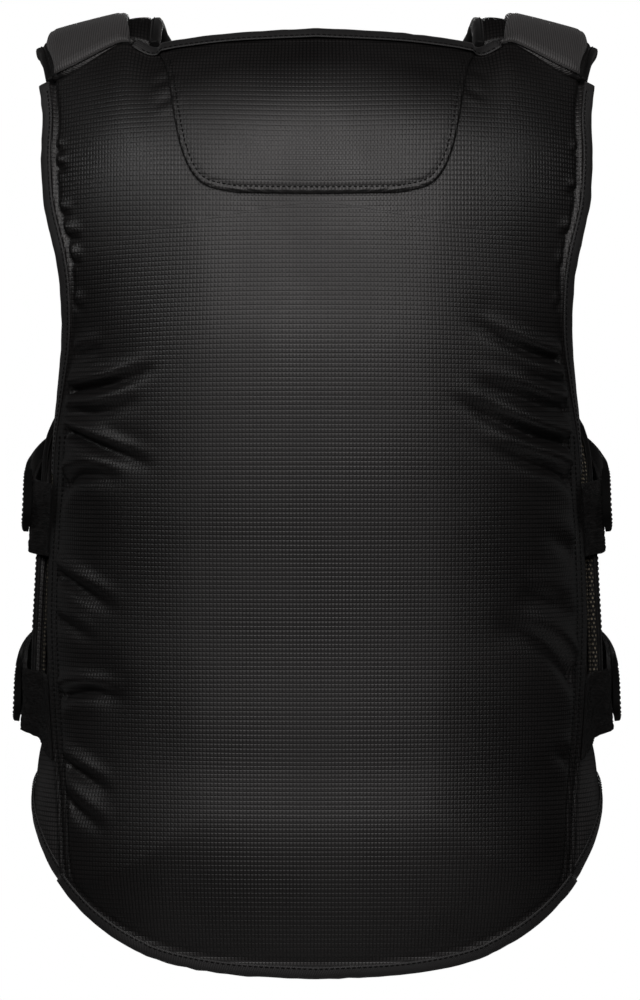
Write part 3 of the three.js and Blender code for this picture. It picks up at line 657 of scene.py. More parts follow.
def wovenCloth(name, look):
    # Cloth woven in cells: a raised bar or rib in each between sunk lines, and broad, faint changes of tone
    material, tree, shader, place, x, y = newCloth(name, *look["cell"], look.get("turned", 0))
    rises = [ramp(tree, mathNode(tree, "PINGPONG", at, 0.5), *to) for at, to in zip((x, y), look["rises"])]
    raised = mathNode(tree, "MULTIPLY", *rises)
    broad = noise(tree, place, look["broad"], 3)
    tone = mathNode(tree, "MULTIPLY", raised, ramp(tree, broad, 0.3, 0.7, look["darkest"], 1.0))
    weave = mathNode(tree, "MULTIPLY_ADD", noise(tree, place, look["fine"], 1), look["fineShare"], raised)
    colour = colourBetween(tree, tone, look["lines"], look["bars"])
    dress(tree, shader, look, colour, weave, broad, 0.04, look["dull"])
    return material


def loopCloth(name, look):  # a brushed pile: tangled noise at two scales
    material, tree, shader, place = newCloth(name, 0.001, 0.001)[:4]
    tangle = ramp(tree, noise(tree, place, look["tangle"], 4, 0.75), 0.3, 0.75)
    tufts = noise(tree, place, look["tufts"], 3, 0.6)
    both = mathNode(tree, "MULTIPLY", tangle, ramp(tree, tufts, 0.25, 0.75, 0.3, 1.0))
    colour = colourBetween(tree, both, look["deep"], look["tips"])
    dress(tree, shader, look, colour, both, tufts, 0.07, 0.05)
    return material


def spacerMesh(name, look):
    # Black knitted mesh: round holes in staggered rows, through which the pale foam shows
    material, tree, shader, place, x, y = newCloth(name, look["hole"], look["hole"] * 0.9)
    row = mathNode(tree, "MODULO", mathNode(tree, "FLOOR", y), 2.0)
    staggered = mathNode(tree, "MULTIPLY_ADD", row, 0.5, x)
    u, v = (mathNode(tree, "SUBTRACT", mathNode(tree, "FRACT", at), 0.5) for at in (staggered, y))
    square = mathNode(tree, "ADD", mathNode(tree, "MULTIPLY", u, u), mathNode(tree, "MULTIPLY", v, v))
    net = ramp(tree, mathNode(tree, "SQRT", square), look["open"] * 0.8, look["open"] * 1.15)
    fine = noise(tree, place, 1500, 2)
    uneven = ramp(tree, noise(tree, place, 300, 2), 0.35, 0.65, 0.25, 1.0)
    holes = mathNode(tree, "MULTIPLY", mathNode(tree, "SUBTRACT", 1.0, net), uneven)
    colour = colourBetween(tree, holes, look["yarn"], look["foam"])
    dress(tree, shader, look, colour, mathNode(tree, "MULTIPLY_ADD", fine, 0.15, net), fine, 0.1, 0.1)
    return material


def smoothTab(name, look):  # moulded hook tape: close rows of small nubs, nearly smooth
    material, tree, shader, place, x, y = newCloth(name, look["grain"], look["grain"])
    nubs = mathNode(tree, "MULTIPLY", *(mathNode(tree, "PINGPONG", at, 0.5) for at in (x, y)))
    worn = noise(tree, place, 60, 4)
    height = mathNode(tree, "MULTIPLY_ADD", nubs, 1.6, noise(tree, place, 700, 2))
    colour = colourBetween(tree, ramp(tree, worn, 0.35, 0.7), look["dark"], look["light"])
    dress(tree, shader, look, colour, height, worn, 0.06, 0.08)
    return material


# Cells in metres; rises: where the thread starts and ends to rise across a cell, and how far down and up
shellLook = {
    "cell": (0.00206, 0.00276), "rises": ((0.02, 0.3), (0.03, 0.27)), "broad": 14, "darkest": 0.85,
    "fine": 900, "fineShare": 0.25, "dull": 0.05, "lines": (0.0004, 0.00035, 0.00035),
    "bars": (0.0062, 0.0053, 0.0053), "depth": 0.00024, "strength": 0.6, "rough": 0.47, "specular": 0.37,
    "sheen": 0.0,
}
ribLook = {
    "cell": (0.0014, 0.0014 * 1.6), "rises": ((0.0, 0.42), (0.0, 0.2, 0.8, 1.0)), "broad": 22, "darkest": 0.8,
    "fine": 1400, "fineShare": 0.2, "dull": 0.06, "lines": (0.010, 0.0095, 0.0095),
    "bars": (0.034, 0.032, 0.032), "depth": 0.0003, "strength": 0.8, "rough": 0.55, "specular": 0.35,
    "sheen": 0.08,
}
tapeLook = {
    **ribLook, "cell": (0.0009, 0.0009 * 1.6), "turned": 32, "lines": (0.002, 0.0019, 0.002),
    "bars": (0.009, 0.0086, 0.0088), "depth": 0.00016, "strength": 0.7, "rough": 0.52, "sheen": 0.05,
}
shell = wovenCloth("waffle shell cloth", shellLook)
# The wings' cloth is the shell's weave painted lighter: painted light that stands in for light from the sides
wingClothPaintedLight = wovenCloth("waffle wing cloth painted lighter", {
    **shellLook, "lines": (0.004,) * 3, "bars": (0.022, 0.0205, 0.0205),
})
ribs = wovenCloth("ribbed shoulder cloth", ribLook)
binding = wovenCloth("twill binding tape", tapeLook)
# The front halves' binding: the twill tape with less relief and shine, and painted near-black as painted
# shade, where the front's edges lie in deep shadow
bindingPaintedInShade = wovenCloth("smoother binding tape painted in shade", {
    **tapeLook, "lines": (0.0008,) * 3, "bars": (0.0025, 0.0024, 0.0024), "strength": 0.3, "rough": 0.6,
    "specular": 0.1,
})
thread = wovenCloth("sewing thread", {
    **ribLook, "cell": (0.0005, 0.0005 * 1.6), "lines": (0.0006,) * 3, "bars": (0.0018, 0.0017, 0.0017),
    "depth": 0.00005, "strength": 0.4, "rough": 0.7, "specular": 0.12, "sheen": 0.0,
})
loops = loopCloth("brushed loop tape", {
    "deep": (0.0004,) * 3, "tips": (0.013, 0.0125, 0.0125), "tangle": 620, "tufts": 160, "depth": 0.0012,
    "strength": 1.0, "rough": 0.95, "specular": 0.1, "sheen": 0.02, "nap": 0.35,
})
spacer = spacerMesh("spacer mesh over foam", {
    "hole": 0.0029, "open": 0.3, "yarn": (0.004, 0.004, 0.0038), "foam": (0.19, 0.165, 0.12),
    "depth": 0.0006, "strength": 0.9, "rough": 0.8, "specular": 0.2, "sheen": 0.05,
})
hook = smoothTab("hook tape", {
    "grain": 0.0011, "dark": (0.0006,) * 3, "light": (0.0016,) * 3, "depth": 0.00012, "strength": 0.6,
    "rough": 0.7, "specular": 0.05, "sheen": 0.03,
})
plastic = smoothTab("zip plastic", {
    "grain": 0.004, "dark": (0.006, 0.006, 0.0065), "light": (0.012, 0.012, 0.0125), "depth": 0.00004,
    "strength": 0.6, "rough": 0.33, "specular": 0.5, "sheen": 0.03,
})
print("materials made")


softness = {
    "mass": 0.25, "stiffness": 15, "shear": 5, "bending": 0.4, "slack": 0.006, "pressure": 0.15, "frames": 16,
    "quality": 6, "held": 0.55, "cap": 0.0014, "smooth": 6,
}


def settle(points, hold):
    # A cloth simulation of the outer face alone: its held points stay, the rest swells a little and slackens,
    # and no point may move further than the cap. It gives back how far each point went
    rows, count = points.shape[:2]
    mesh = bpy.data.meshes.new("settling")
    mesh.from_pydata(points.reshape(-1, 3), [], gridFaces(rows, count))
    mesh.update()
    obj = inScene("settling", mesh)
    scene = bpy.context.scene
    group = obj.vertex_groups.new(name="held")
    weights = np.round(hold.ravel(), 2)
    for value in np.unique(weights):
        group.add(np.nonzero(weights == value)[0].tolist(), float(value), "REPLACE")
    modifier = obj.modifiers.new("cloth", "CLOTH")
    settings = modifier.settings
    settings.quality = softness["quality"]
    settings.mass = softness["mass"]
    settings.tension_stiffness = settings.compression_stiffness = softness["stiffness"]
    settings.shear_stiffness = softness["shear"]
    settings.bending_stiffness = softness["bending"]
    settings.vertex_group_mass = "held"
    settings.pin_stiffness = 1.0
    settings.shrink_min = -softness["slack"]
    settings.use_pressure = True
    settings.uniform_pressure_force = softness["pressure"]
    settings.effector_weights.gravity = 0
    modifier.collision_settings.use_collision = False
    for number in range(1, softness["frames"] + 1):
        scene.frame_set(number)
    evaluated = obj.evaluated_get(bpy.context.evaluated_depsgraph_get())
    moved = np.empty(len(evaluated.data.vertices) * 3)
    evaluated.data.vertices.foreach_get("co", moved)
    shift = moved.reshape(points.shape) - points
    scene.frame_set(1)
    bpy.data.objects.remove(obj)
    for smoothing in range(softness["smooth"]):  # each point half itself and half its four neighbours
        padded = np.pad(shift, ((1, 1), (1, 1), (0, 0)), "edge")
        around = padded[:-2, 1:-1] + padded[2:, 1:-1] + padded[1:-1, :-2] + padded[1:-1, 2:]
        shift = shift / 2 + around / 8
    length = np.maximum(np.linalg.norm(shift, axis=-1, keepdims=True), 1e-9)
    return shift / length * softness["cap"] * np.tanh(length / softness["cap"])


def finer(values, rows, count):  # a coarse grid of points read at a finer one's places, up and then across
    for wanted in (rows, count):
        at = np.linspace(0, len(values) - 1, wanted)
        low = np.minimum(at.astype(int), len(values) - 2)
        values = lerp(values[low], values[low + 1], (at - low)[:, None, None]).swapaxes(0, 1)
    return values


def grid(rows, count, drawn=0.0):  # the columns can be drawn towards both sides, along a cosine
    across, up = np.meshgrid(np.linspace(0, 1, count), np.linspace(0, 1, rows))
    return lerp(across, (1 - np.cos(math.pi * across)) / 2, drawn), up


# The back
def onBack(x, z, lift=0.0):  # a point of the back's outer face, with what is laid on it
    level = levelAt(x, z)
    turn = turnAt(x, level)
    return over(turn, level, backHeight(x, z, turn) + lift)


def backNormal(x, z):  # the cross product of two short steps over the outer face
    step = 0.0008
    across = onBack(x + step, z) - onBack(x - step, z)
    up = onBack(x, z + step) - onBack(x, z - step)
    normal = unit(np.cross(across, up))
    return normal * np.where(normal[..., 1:2] < 0, -1, 1)


across, up = grid(*back["grid"], back["drawn"])
x, z, turn, level = backPlace(across * 2 - 1, up)
backOuter = over(turn, level, backHeight(x, z, turn))
backInner = over(turn, level, np.full(x.shape, trunk["skinGap"]))
sparseAcross, sparseUp = grid(*back["sparse"], back["drawn"])
sx, sz, sTurn, sLevel = backPlace(sparseAcross * 2 - 1, sparseUp)
sEdge = np.minimum(backHalfAt(sz) - np.abs(sx), np.minimum(sz - hemAt(sTurn), backTopAt(sx) - sz))
underYoke = (np.abs(sx) < back["heldHalf"]) & (sz > -back["heldDrop"])
hold = np.where((sEdge < back["heldEdge"]) | underYoke, 1.0, softness["held"])
shift = settle(over(sTurn, sLevel, backHeight(sx, sz, sTurn)), hold)
backOuter += finer(shift, *back["grid"])
print("back cloth settled, furthest", round(float(np.abs(shift).max()) * 1000, 2), "mm")
backPanel = closedSheet(
    "back-panel", backOuter, backInner, clothCoordinates(turn, level), [shell, spacer], ["back_panel"],
    inside=1,
)
print("back made")

# The inset below the neck: it lies on the back with a folded edge, and bends where the neck stands up
yoke = {
    "depth": 0.119, "thickness": 0.0019, "edge": 0.0009, "fold": 0.0022, "stitch": 0.0034, "sink": 0.0005,
    "sinkWide": 0.0009, "puff": 0.0004, "puffRoll": 0.012, "bend": 0.0011, "bendDrop": 0.0363,
    "bendBow": 0.02, "bendWide": 0.008, "bendEase": 0.03, "gap": trunk["clearance"] * 1.2,
}


def yokeOutline(inset=0.0):  # down one side, round the corners and up the other, moved inwards by the inset
    depth = np.linspace(0.0, 1, 90)
    half = read(yokeSides, "half", depth, "depth") * back["halfWidth"]
    top = backTopAt(half) - trunk["clearance"] * 3
    side = np.stack([half, lerp(top, -yoke["depth"], depth)], -1)
    bottom = np.stack([np.linspace(half[-1], -half[-1], 40), np.full(40, -yoke["depth"])], -1)[1:-1]
    line = spread(rounded(np.concatenate([side, bottom, side[::-1] * [-1, 1]]), 2), 260)
    along = unit(np.gradient(line, axis=0))
    return line + np.stack([along[:, 1], -along[:, 0]], -1) * inset


def yokeLift(x, z):  # thin at the fold, full past it, pulled down along the stitches
    line = yokeOutline()
    gap = np.stack([x, z], -1)[..., None, :] - line
    edge = np.sqrt((gap**2).sum(-1).min(-1))
    lift = lerp(yoke["edge"], yoke["thickness"], softRise(edge, yoke["fold"]))
    lift -= yoke["sink"] * bell(edge - yoke["stitch"], yoke["sinkWide"])
    lift += yoke["puff"] * softRise(edge - yoke["stitch"], yoke["puffRoll"])
    drop = -z - yoke["bendDrop"] - yoke["bendBow"] * (np.abs(x) / 0.09) ** 2
    return lift - yoke["bend"] * bell(drop, yoke["bendWide"]) * softRise(edge, yoke["bendEase"])


a, b = grid(64, 90)
half = read(yokeSides, "half", b, "depth") * back["halfWidth"]
x = (a * 2 - 1) * half
z = lerp(backTopAt(x) - trunk["clearance"] * 3, -yoke["depth"], b)
level = levelAt(x, z)
turn = turnAt(x, level)
under = backHeight(x, z, turn) + yoke["gap"]
yokePiece = closedSheet(
    "neck-inset", over(turn, level, under + yokeLift(x, z)), over(turn, level, under),
    clothCoordinates(turn, level), [shell], ["neck_yoke"],
)


def onYoke(x, z, lift):  # a point of the inset's outer face, and the way out of it
    level = levelAt(x, z)
    turn = turnAt(x, level)
    height = backHeight(x, z, turn) + yoke["gap"] + yokeLift(x, z)
    return over(turn, level, height + lift), outward(turn, level)


line = yokeOutline(yoke["stitch"])[6:-6]
stitches("neck-inset-stitches", [onYoke(line[:, 0], line[:, 1], 0.00015)])
print("neck inset made")


# Bindings: a rounded section carried along an edge, swelling and shrinking a little on its way. Its lip
# laps over the panel's flat margin. Each row: share of the width outwards, of the lip inwards, of the height,
# and lift
section = np.array([
    (0.06, 0, 0, 0), (0.7, 0, 0, 0), (0.93, 0, 0.1, 0), (1, 0, 0.32, 0), (1, 0, 0.62, 0),
    (0.95, 0, 0.86, 0.1),
    (0.82, 0, 1, 0.5), (0.55, 0, 1, 0.95), (0.25, 0, 1, 1), (0, 0.3, 1, 0.95), (0, 0.75, 1, 0.85),
    (0, 1, 1, 0.5), (0, 1, 1, 0.12), (0, 0.5, 1, 0.1), (0.06, 0, 1, 0.1), (0.06, 0, 0.9, 0),
])


def bind(name, turn, level, low, high, away, lip=0.0, cloth=binding):
    # The binding's points are the edge's own, moved outwards and upwards by the section. It gives back the
    # line where its stitches lie
    points = over(turn, level, np.zeros(turn.shape))
    upward = outward(turn, level)
    out = unit(np.cross(unit(np.gradient(points, axis=0)), upward)) * away
    run = runOf(points)
    knots = np.arange(0, run[-1] + 0.02, 0.006)
    uneven = np.interp(run, knots, random.normal(0, 1, len(knots)))[:, None]
    swell = 1 + uneven * tape["ripple"] / tape["width"]
    outwards = tape["width"] * section[:, 0] * swell - lip * section[:, 1]
    upwards = low[:, None] + (high - low)[:, None] * section[:, 2] + tape["extra"] * section[:, 3] * swell
    rings = points[:, None] + out[:, None] * outwards[..., None] + upward[:, None] * upwards[..., None]
    around = runOf(np.stack([outwards[0], upwards.mean(0)], -1))
    around = np.append(around, around[-1] + 0.003)
    places = np.stack(np.broadcast_arrays(run[:, None], around[None, :]), -1)
    closedBar(name, rings, places, [cloth], [name.replace("-", "_")])
    seam = points + out * (0.0014 - lip) + upward * (high + tape["extra"] + 0.00005)[:, None]
    return seam[2:-2], upward[2:-2]


across = np.linspace(-1, 1, 260)
x, z, turn, level = backPlace(across, np.ones(across.shape))
keep = np.abs(x) < flap["neckAtSeam"] * back["halfWidth"] - tape["width"] / 2
yokeCorner = yokeSides["half"][0] * back["halfWidth"]
edgeOfYoke = 1 - smoothstep(np.abs(x), yokeCorner - 0.002, yokeCorner + 0.002)
high = backHeight(x, z, turn, detail=False) + 0.003 * edgeOfYoke
low = np.full(x.shape, trunk["skinGap"])
seams = [bind("neck-binding", turn[keep], level[keep], low[keep], high[keep], 1, back["lip"])]
for side, word in ((1, "left"), (-1, "right")):
    up = np.linspace(0.462, 0.999, 170)
    x, z, turn, level = backPlace(np.full(up.shape, float(side)), up)
    high = backHeight(x, z, turn, detail=False)
    low = np.full(x.shape, trunk["skinGap"])
    seams.append(bind(f"armhole-binding-{word}", turn, level, low, high, -side, back["lip"]))
forward = np.linspace(0, 1, 60)
wingTurn, wingLevel = wingPlace(forward, np.zeros(forward.shape))
across = np.linspace(-1, 1, 260)
x, z, turn, level = backPlace(across, np.zeros(across.shape))
wingLow = np.full(60, trunk["skinGap"] + wing["lift"])
low = np.concatenate([wingLow, np.full(260, trunk["skinGap"]), wingLow])
backHigh = backHeight(x, z, turn, detail=False)
high = np.concatenate([wingLow + wing["thickness"], backHigh, wingLow + wing["thickness"]])
turn = np.concatenate([-wingTurn[::-1], turn, wingTurn])
level = np.concatenate([wingLevel[::-1], level, wingLevel])
seams.append(bind("hem-binding", turn, level, low, high, -1, back["lip"]))
print("bindings of the back made")

# Double stitching down both side seams
for side in (1, -1):
    for inset in back["stitchLines"]:
        z = np.linspace(-0.262, -0.532, 240)
        x = side * (backHalfAt(z) - inset)
        inside = z - hemAt(turnAt(x, levelAt(x, z))) > 0.004
        x, z = x[inside], z[inside]
        seams.append((onBack(x, z, 0.0004), backNormal(x, z)))
stitches("seam-stitches", seams)
print("seams stitched")

# The wings: thin cloth pieces that run forward from the side seams under the front halves
for side, word in ((1, "left"), (-1, "right")):
    a, b = grid(80, 50)
    turn, level = wingPlace(a, b)
    wave = 0.0004 * np.sin(a * 9 + b * 17) + 0.0003 * np.sin(b * 31 - a * 4)
    height = trunk["skinGap"] + wing["lift"] + wave * smoothstep(a, 0, 0.1) * (1 - smoothstep(a, 0.9, 1))
    cloth = clothCoordinates(turn, level)
    outer, inner = (over(side * turn, level, height + wing["thickness"] * k) for k in (1, 0))
    wingPiece = closedSheet(
        f"wing-{word}", outer, inner, cloth, [wingClothPaintedLight, spacer], [f"wing_{word}"], inside=1
    )
print("wings made")

# The front halves
frontCreases = {
    "waist": 0.0016, "waistDrop": 0.44, "waistWide": 0.05, "chest": 0.0012, "chestDrop": 0.36,
    "chestWide": 0.04,
}


def frontDetail(turn, level):  # soft waves across the waist and slanting ones below the armhole
    down = -level
    waist = frontCreases["waist"] * bell(down - frontCreases["waistDrop"], frontCreases["waistWide"])
    chest = frontCreases["chest"] * bell(down - frontCreases["chestDrop"], frontCreases["chestWide"])
    waves = waist * np.sin(down * 210 + turn * 2.2) + chest * np.sin(down * 260 - turn * 5.5 + 1)
    return waves * smoothstep(np.abs(turn), 0.5, 1.3)


frontSeams = []
for side, word in ((1, "left"), (-1, "right")):
    a, b = grid(*front["grid"], front["drawn"])
    turn, level = frontPlace(a, b)
    width = girthAt(level)[0]
    edge = np.minimum((frontTurnAt(level) - turn) * width, (turn - frontInnerTurnAt(level)) * width)
    edge = np.minimum(edge, level - frontHemLevel)
    height = frontHeight(turn, level) + frontDetail(turn, level) * smoothstep(edge, 0, 0.015)
    bottom = frontStand(level) + front["lining"] + trunk["clearance"]
    outer, inner = over(side * turn, level, height), over(side * turn, level, bottom)
    counts = zip(front["grid"], front["sparse"])
    pick = np.ix_(*(np.round(np.linspace(0, full - 1, few)).astype(int) for full, few in counts))
    hold = np.where((edge[pick] < front["heldEdge"]) | (b[pick] > 0.7), 1.0, softness["held"])
    outer += finer(settle(outer[pick], hold), *front["grid"])
    cloth = clothCoordinates(turn, level)
    # Only the right half's rear rim shows the spacer mesh; the left half's matching rim keeps the black shell
    # cloth, painted shade where that side lies in shadow
    half = closedSheet(
        f"front-half-{word}", outer, inner, cloth, [shell, spacer], [f"front_half_{word}"], inside=1,
        rim=(a > 0.99) & (level < -0.27) & (side < 0)
    )
    low, upper = (over(side * turn, level, frontStand(level) + front["lining"] * k) for k in (0, 1))
    lining = closedSheet(
        f"front-lining-{word}", upper, low, cloth, [spacer], [f"front_lining_{word}"]
    )
    down = np.linspace(0.997, 0.003, 240)
    turn, level = frontPlace(np.zeros(240), down)
    edges = side * turn, level, frontStand(level), frontHeight(turn, level)
    frontSeams.append(bind(f"front-binding-{word}", *edges, side, cloth=bindingPaintedInShade))
    hem = np.linspace(0.99, 0.01, 110)
    turn, level = frontPlace(np.concatenate([np.ones(240), hem]), np.concatenate([down, np.zeros(110)]))
    share = np.concatenate([smoothstep(-level[:240], 0.265, 0.30), np.linspace(1, 0, 110) ** 0.4])
    low, high = frontStand(level), frontHeight(turn, level)
    edges = side * turn, level, lerp(low, high, 0.68 * share), high
    frontSeams.append(bind(f"front-armhole-binding-{word}", *edges, -side, cloth=bindingPaintedInShade))
stitches("front-stitches", frontSeams)
print("front halves made")

# The bands over the shoulders, ribbed from back to front
flapSeams = []


def flapPlace(a, b):  # from the neck to the armhole, and from the back's top edge over the shoulder
    onTop = smoothstep(b, 0, 0.3)
    neck = lerp(flap["neckAtSeam"], flap["neckOnTop"], onTop)
    arm = lerp(flap["armAtSeam"], flap["armOnTop"], onTop)
    x = lerp(neck, arm, a) * back["halfWidth"]
    end = -(flap["reach"] - flap["corner"] * np.abs(2 * a - 1) ** 3)
    level = lerp(levelAt(x, backTopAt(x)) - trunk["clearance"] * 1.5, end, b)
    turn = turnAt(x, level)
    return x, turn, level, frontHeight(turn, level) + trunk["clearance"] * 2


for side, word in ((1, "left"), (-1, "right")):
    a, b = grid(110, 46)
    x, turn, level, bottom = flapPlace(a, b)
    edge = np.minimum(np.minimum(a, 1 - a) * flap["width"], np.minimum(b, 1 - b) * flap["run"])
    crown = flap["thickness"] * (0.45 + 0.55 * softRise(edge, 0.005)) + flap["crown"] * softRise(edge, 0.02)
    crown -= flap["crown"] * bell(edge - 0.0035, 0.001)
    outer, inner = over(side * turn, level, bottom + crown), over(side * turn, level, bottom)
    cloth = np.stack([x, b * flap["run"] + 0.2], -1)
    band = closedSheet(
        f"shoulder-band-{word}", outer, inner, cloth, [ribs, spacer], [f"shoulder_flap_{word}"], inside=1
    )
    softenEdges(band, 0.0006)
    a = np.linspace(0.07, 0.93, 80)
    x, turn, level, bottom = flapPlace(a, np.full(80, 0.978))
    height = bottom + flap["thickness"] * 0.9
    flapSeams.append((over(side * turn, level, height), outward(side * turn, level)))
stitches("shoulder-band-stitches", flapSeams)
print("shoulder bands made")

# The straps of brushed tape and the tabs that close on them
strapSize = {
    "width": 0.049, "thickness": 0.0024, "rise": 0.3, "end": 140, "pile": 0.0003, "wave": 0.0002,
    "frayed": 0.00018, "leaves": 8, "up": 3.8, "shortest": 2.6, "tabStart": 84, "tabSeat": 90, "tabFlat": 106,
    "tabEnd": 150, "tabThickness": 0.0022, "tabLift": 0.0015, "tabCorner": 0.0215, "tabRound": 0.032,
    "tabRaise": 0.009, "tabFill": 0.0016, "tabWidth": 0.045, "tabLength": 0.18, "tabEdge": 0.002,
}
strapPlaces = [("upper", 0.535, 0.88, 0.96), ("lower", 0.743, 1.0, 0.86)]


def strapHeight(turn, level, start):  # over the wing, then over the edge of the front half and along it
    low = trunk["skinGap"] + wing["lift"] + wing["thickness"] + trunk["clearance"]
    edge = math.pi - frontTurnAt(-level)
    onto = frontHeight(np.minimum(math.pi - turn, frontTurnAt(-level)), -level)
    panel = onto + tape["extra"] + trunk["clearance"] * 4.5
    leaves = np.maximum(start, edge - strapSize["leaves"] * degree)
    up = np.maximum(leaves + strapSize["shortest"] * degree, edge - strapSize["up"] * degree)
    return lerp(low, panel, smoothstep(turn, leaves, up))


tabSeams = []
for side, word in ((1, "left"), (-1, "right")):
    for place, drop, share, tabShare in strapPlaces:
        a, b = grid(34, 120)
        middle = -drop * back["length"]
        z = middle + (b - 0.5) * share * strapSize["width"]
        seam = backHalfAt(z)
        start = turnAt(seam, levelAt(seam, z)) + trunk["clearance"] * 0.8 / trunk["halfWidth"]
        turn = lerp(start, strapSize["end"] * degree, a)
        rising = (turn - start) * trunk["halfWidth"] * strapSize["rise"]
        level = levelAt(np.full(z.shape, trunk["halfWidth"]), z + rising)
        height = strapHeight(turn, level, start)
        wave = strapSize["wave"] * np.sin(a * 40) * np.sin(b * 9)
        pile = random.normal(0, strapSize["pile"], z.shape) + wave
        pile = pile * smoothstep(a, 0, 0.03)
        outer = over(side * turn, level, height + strapSize["thickness"] + pile)
        outer[..., 2] += random.normal(0, strapSize["frayed"], z.shape) * smoothstep(a, 0, 0.03)
        cloth = np.stack([turn * trunk["halfWidth"], z + 1], -1)
        strap = closedSheet(
            f"{place}-strap-{word}", outer, over(side * turn, level, height), cloth, [loops],
            [f"strap_{place}_{word}"],
        )
        softenEdges(strap, 0.0008)

        def tabPoint(a, b, lift, filled=False):
            # The corners are rounded by a quarter of an ellipse, and the free end stands off a little
            width = tabShare * strapSize["width"]
            past = np.clip(1 - width * np.minimum(b, 1 - b) / strapSize["tabCorner"], 0, 1)
            round = strapSize["tabRound"] * (1 - np.sqrt(1 - past * past))
            begin = strapSize["tabStart"] * degree
            turn = lerp(begin + round / trunk["halfWidth"], strapSize["tabEnd"] * degree, a)
            rising = (turn - begin) * trunk["halfWidth"] * strapSize["rise"] + strapSize["tabRaise"]
            level = levelAt(np.full(a.shape, trunk["halfWidth"]), middle + rising + (b - 0.5) * width)
            stand = (1 - smoothstep(turn, begin, strapSize["tabFlat"] * degree)) * strapSize["tabLift"]
            seat = np.maximum(turn, strapSize["tabSeat"] * degree)
            under = strapHeight(seat, level, 0) + strapSize["thickness"] + trunk["clearance"] * 2
            if filled:  # the inner face comes down close to the strap, as a thick moulded end does
                seam = backHalfAt(skin(turn, level)[..., 2])
                start = turnAt(seam, level)
                strap = strapHeight(turn, level, start) + strapSize["thickness"] + trunk["clearance"] * 2
                stand = -np.minimum(under - strap, strapSize["tabFill"])
            return over(side * turn, level, under + stand + lift), turn, outward(side * turn, level)

        a, b = grid(44, 90)
        b = lerp(b, (1 - np.cos(math.pi * b)) / 2, 0.6)
        edge = np.minimum(np.minimum(b, 1 - b) * strapSize["tabWidth"], a * strapSize["tabLength"])
        rim = softRise(edge, strapSize["tabEdge"])
        outer = tabPoint(a, b, strapSize["tabThickness"] * (0.7 + 0.3 * rim))[0]
        inner, turn, normal = tabPoint(a, b, 0.0, True)
        cloth = np.stack([turn * trunk["halfWidth"], b * strapSize["tabWidth"]], -1)
        tab = closedSheet(
            f"{place}-tab-{word}", outer, inner, cloth, [hook], [f"tab_{place}_{word}"]
        )
        softenEdges(tab, 0.0007)
        along, round = np.linspace(0.03, 0.97, 120), np.linspace(0.09, 0.91, 60)
        rows = (along, np.full(120, 0.085)), (along, np.full(120, 0.915)), (np.full(60, 0.03), round)
        for a, b in rows:
            line, turn, normal = tabPoint(a, b, strapSize["tabThickness"] + 0.0001)
            tabSeams.append((line, normal))
stitches("tab-stitches", tabSeams)
print("straps and tabs made")

# The zip: a tape between the bound edges, two rows of teeth and a slider with a puller
zipTop = -front["neckDrop"] * neckline["fall"][-1] - tape["width"]
sliderEnd = zipTop - zipper["slider"]
levels = np.linspace(zipTop, frontHemLevel, 180)
topHeight = frontHeight(frontInnerTurnAt(levels), levels) - zipper["dip"] - 0.0016
zipSection = np.array([  # across, and which height: under the tape, on it, or up between the bindings
    (-0.012, 0), (0.012, 0), (0.012, 1), (0.0034, 1), (0.0030, 2), (-0.0030, 2), (-0.0034, 1), (-0.012, 1),
])
tapeLow = np.full(180, trunk["skinGap"])
heights = np.stack([tapeLow, tapeLow + zipper["tape"], topHeight], -1)
x = np.broadcast_to(zipSection[:, 0], (180, 8))
height = heights[:, zipSection[:, 1].astype(int)]
level = np.broadcast_to(levels[:, None], (180, 8))
rings = over(turnAt(x, level), level, height)
around = np.append(zipSection[:, 0], zipSection[0, 0]) + 0.02
cloth = np.stack(np.broadcast_arrays(around[None, :], -levels[:, None]), -1)
zipTape = closedBar("zip-tape", rings, cloth, [binding], ["front_zip"])
softenEdges(zipTape, 0.0003)
count = int((sliderEnd - frontHemLevel) / zipper["pitch"] * 2)
middleLevel = sliderEnd - (np.arange(count) + 0.5) * zipper["pitch"] / 2
toSide = np.where(np.arange(count) % 2, 1, -1)
tooth = np.array([  # across from the middle, along the zip, and up: a head, a neck and a foot on the tape
    (-0.0007, -0.45, 0), (-0.0007, 0.45, 0), (0.0009, 0.24, 0), (0.0029, 0.34, 0),
    (0.0029, -0.34, 0), (0.0009, -0.24, 0),
])
outline = np.concatenate([tooth, tooth + [0, 0, 0.0015]])
base = np.interp(-middleLevel, -levels, topHeight)
tx = outline[None, :, 0] * toSide[:, None]
tLevel = middleLevel[:, None] + outline[None, :, 1] * zipper["pitch"] * 0.5
points = over(turnAt(tx, tLevel), tLevel, base[:, None] + outline[None, :, 2] + 0.0001)
ring = np.arange(6)
sidesOf = np.stack([ring, (ring + 1) % 6, (ring + 1) % 6 + 6, ring + 6], -1)
capsOf = np.array([(0, 5, 2, 1), (5, 4, 3, 2), (6, 7, 8, 11), (11, 8, 9, 10)])
firsts = (np.arange(count) * 12)[:, None, None]
toothFaces = (np.concatenate([sidesOf, capsOf])[None] + firsts).reshape(-1, 4)
points = points.reshape(-1, 3)
corners = points[toothFaces][..., [0, 2]]
teeth = piece("zip-teeth", points, toothFaces, corners, [plastic])
turnOut(teeth)
softenEdges(teeth, 0.00022, 30)


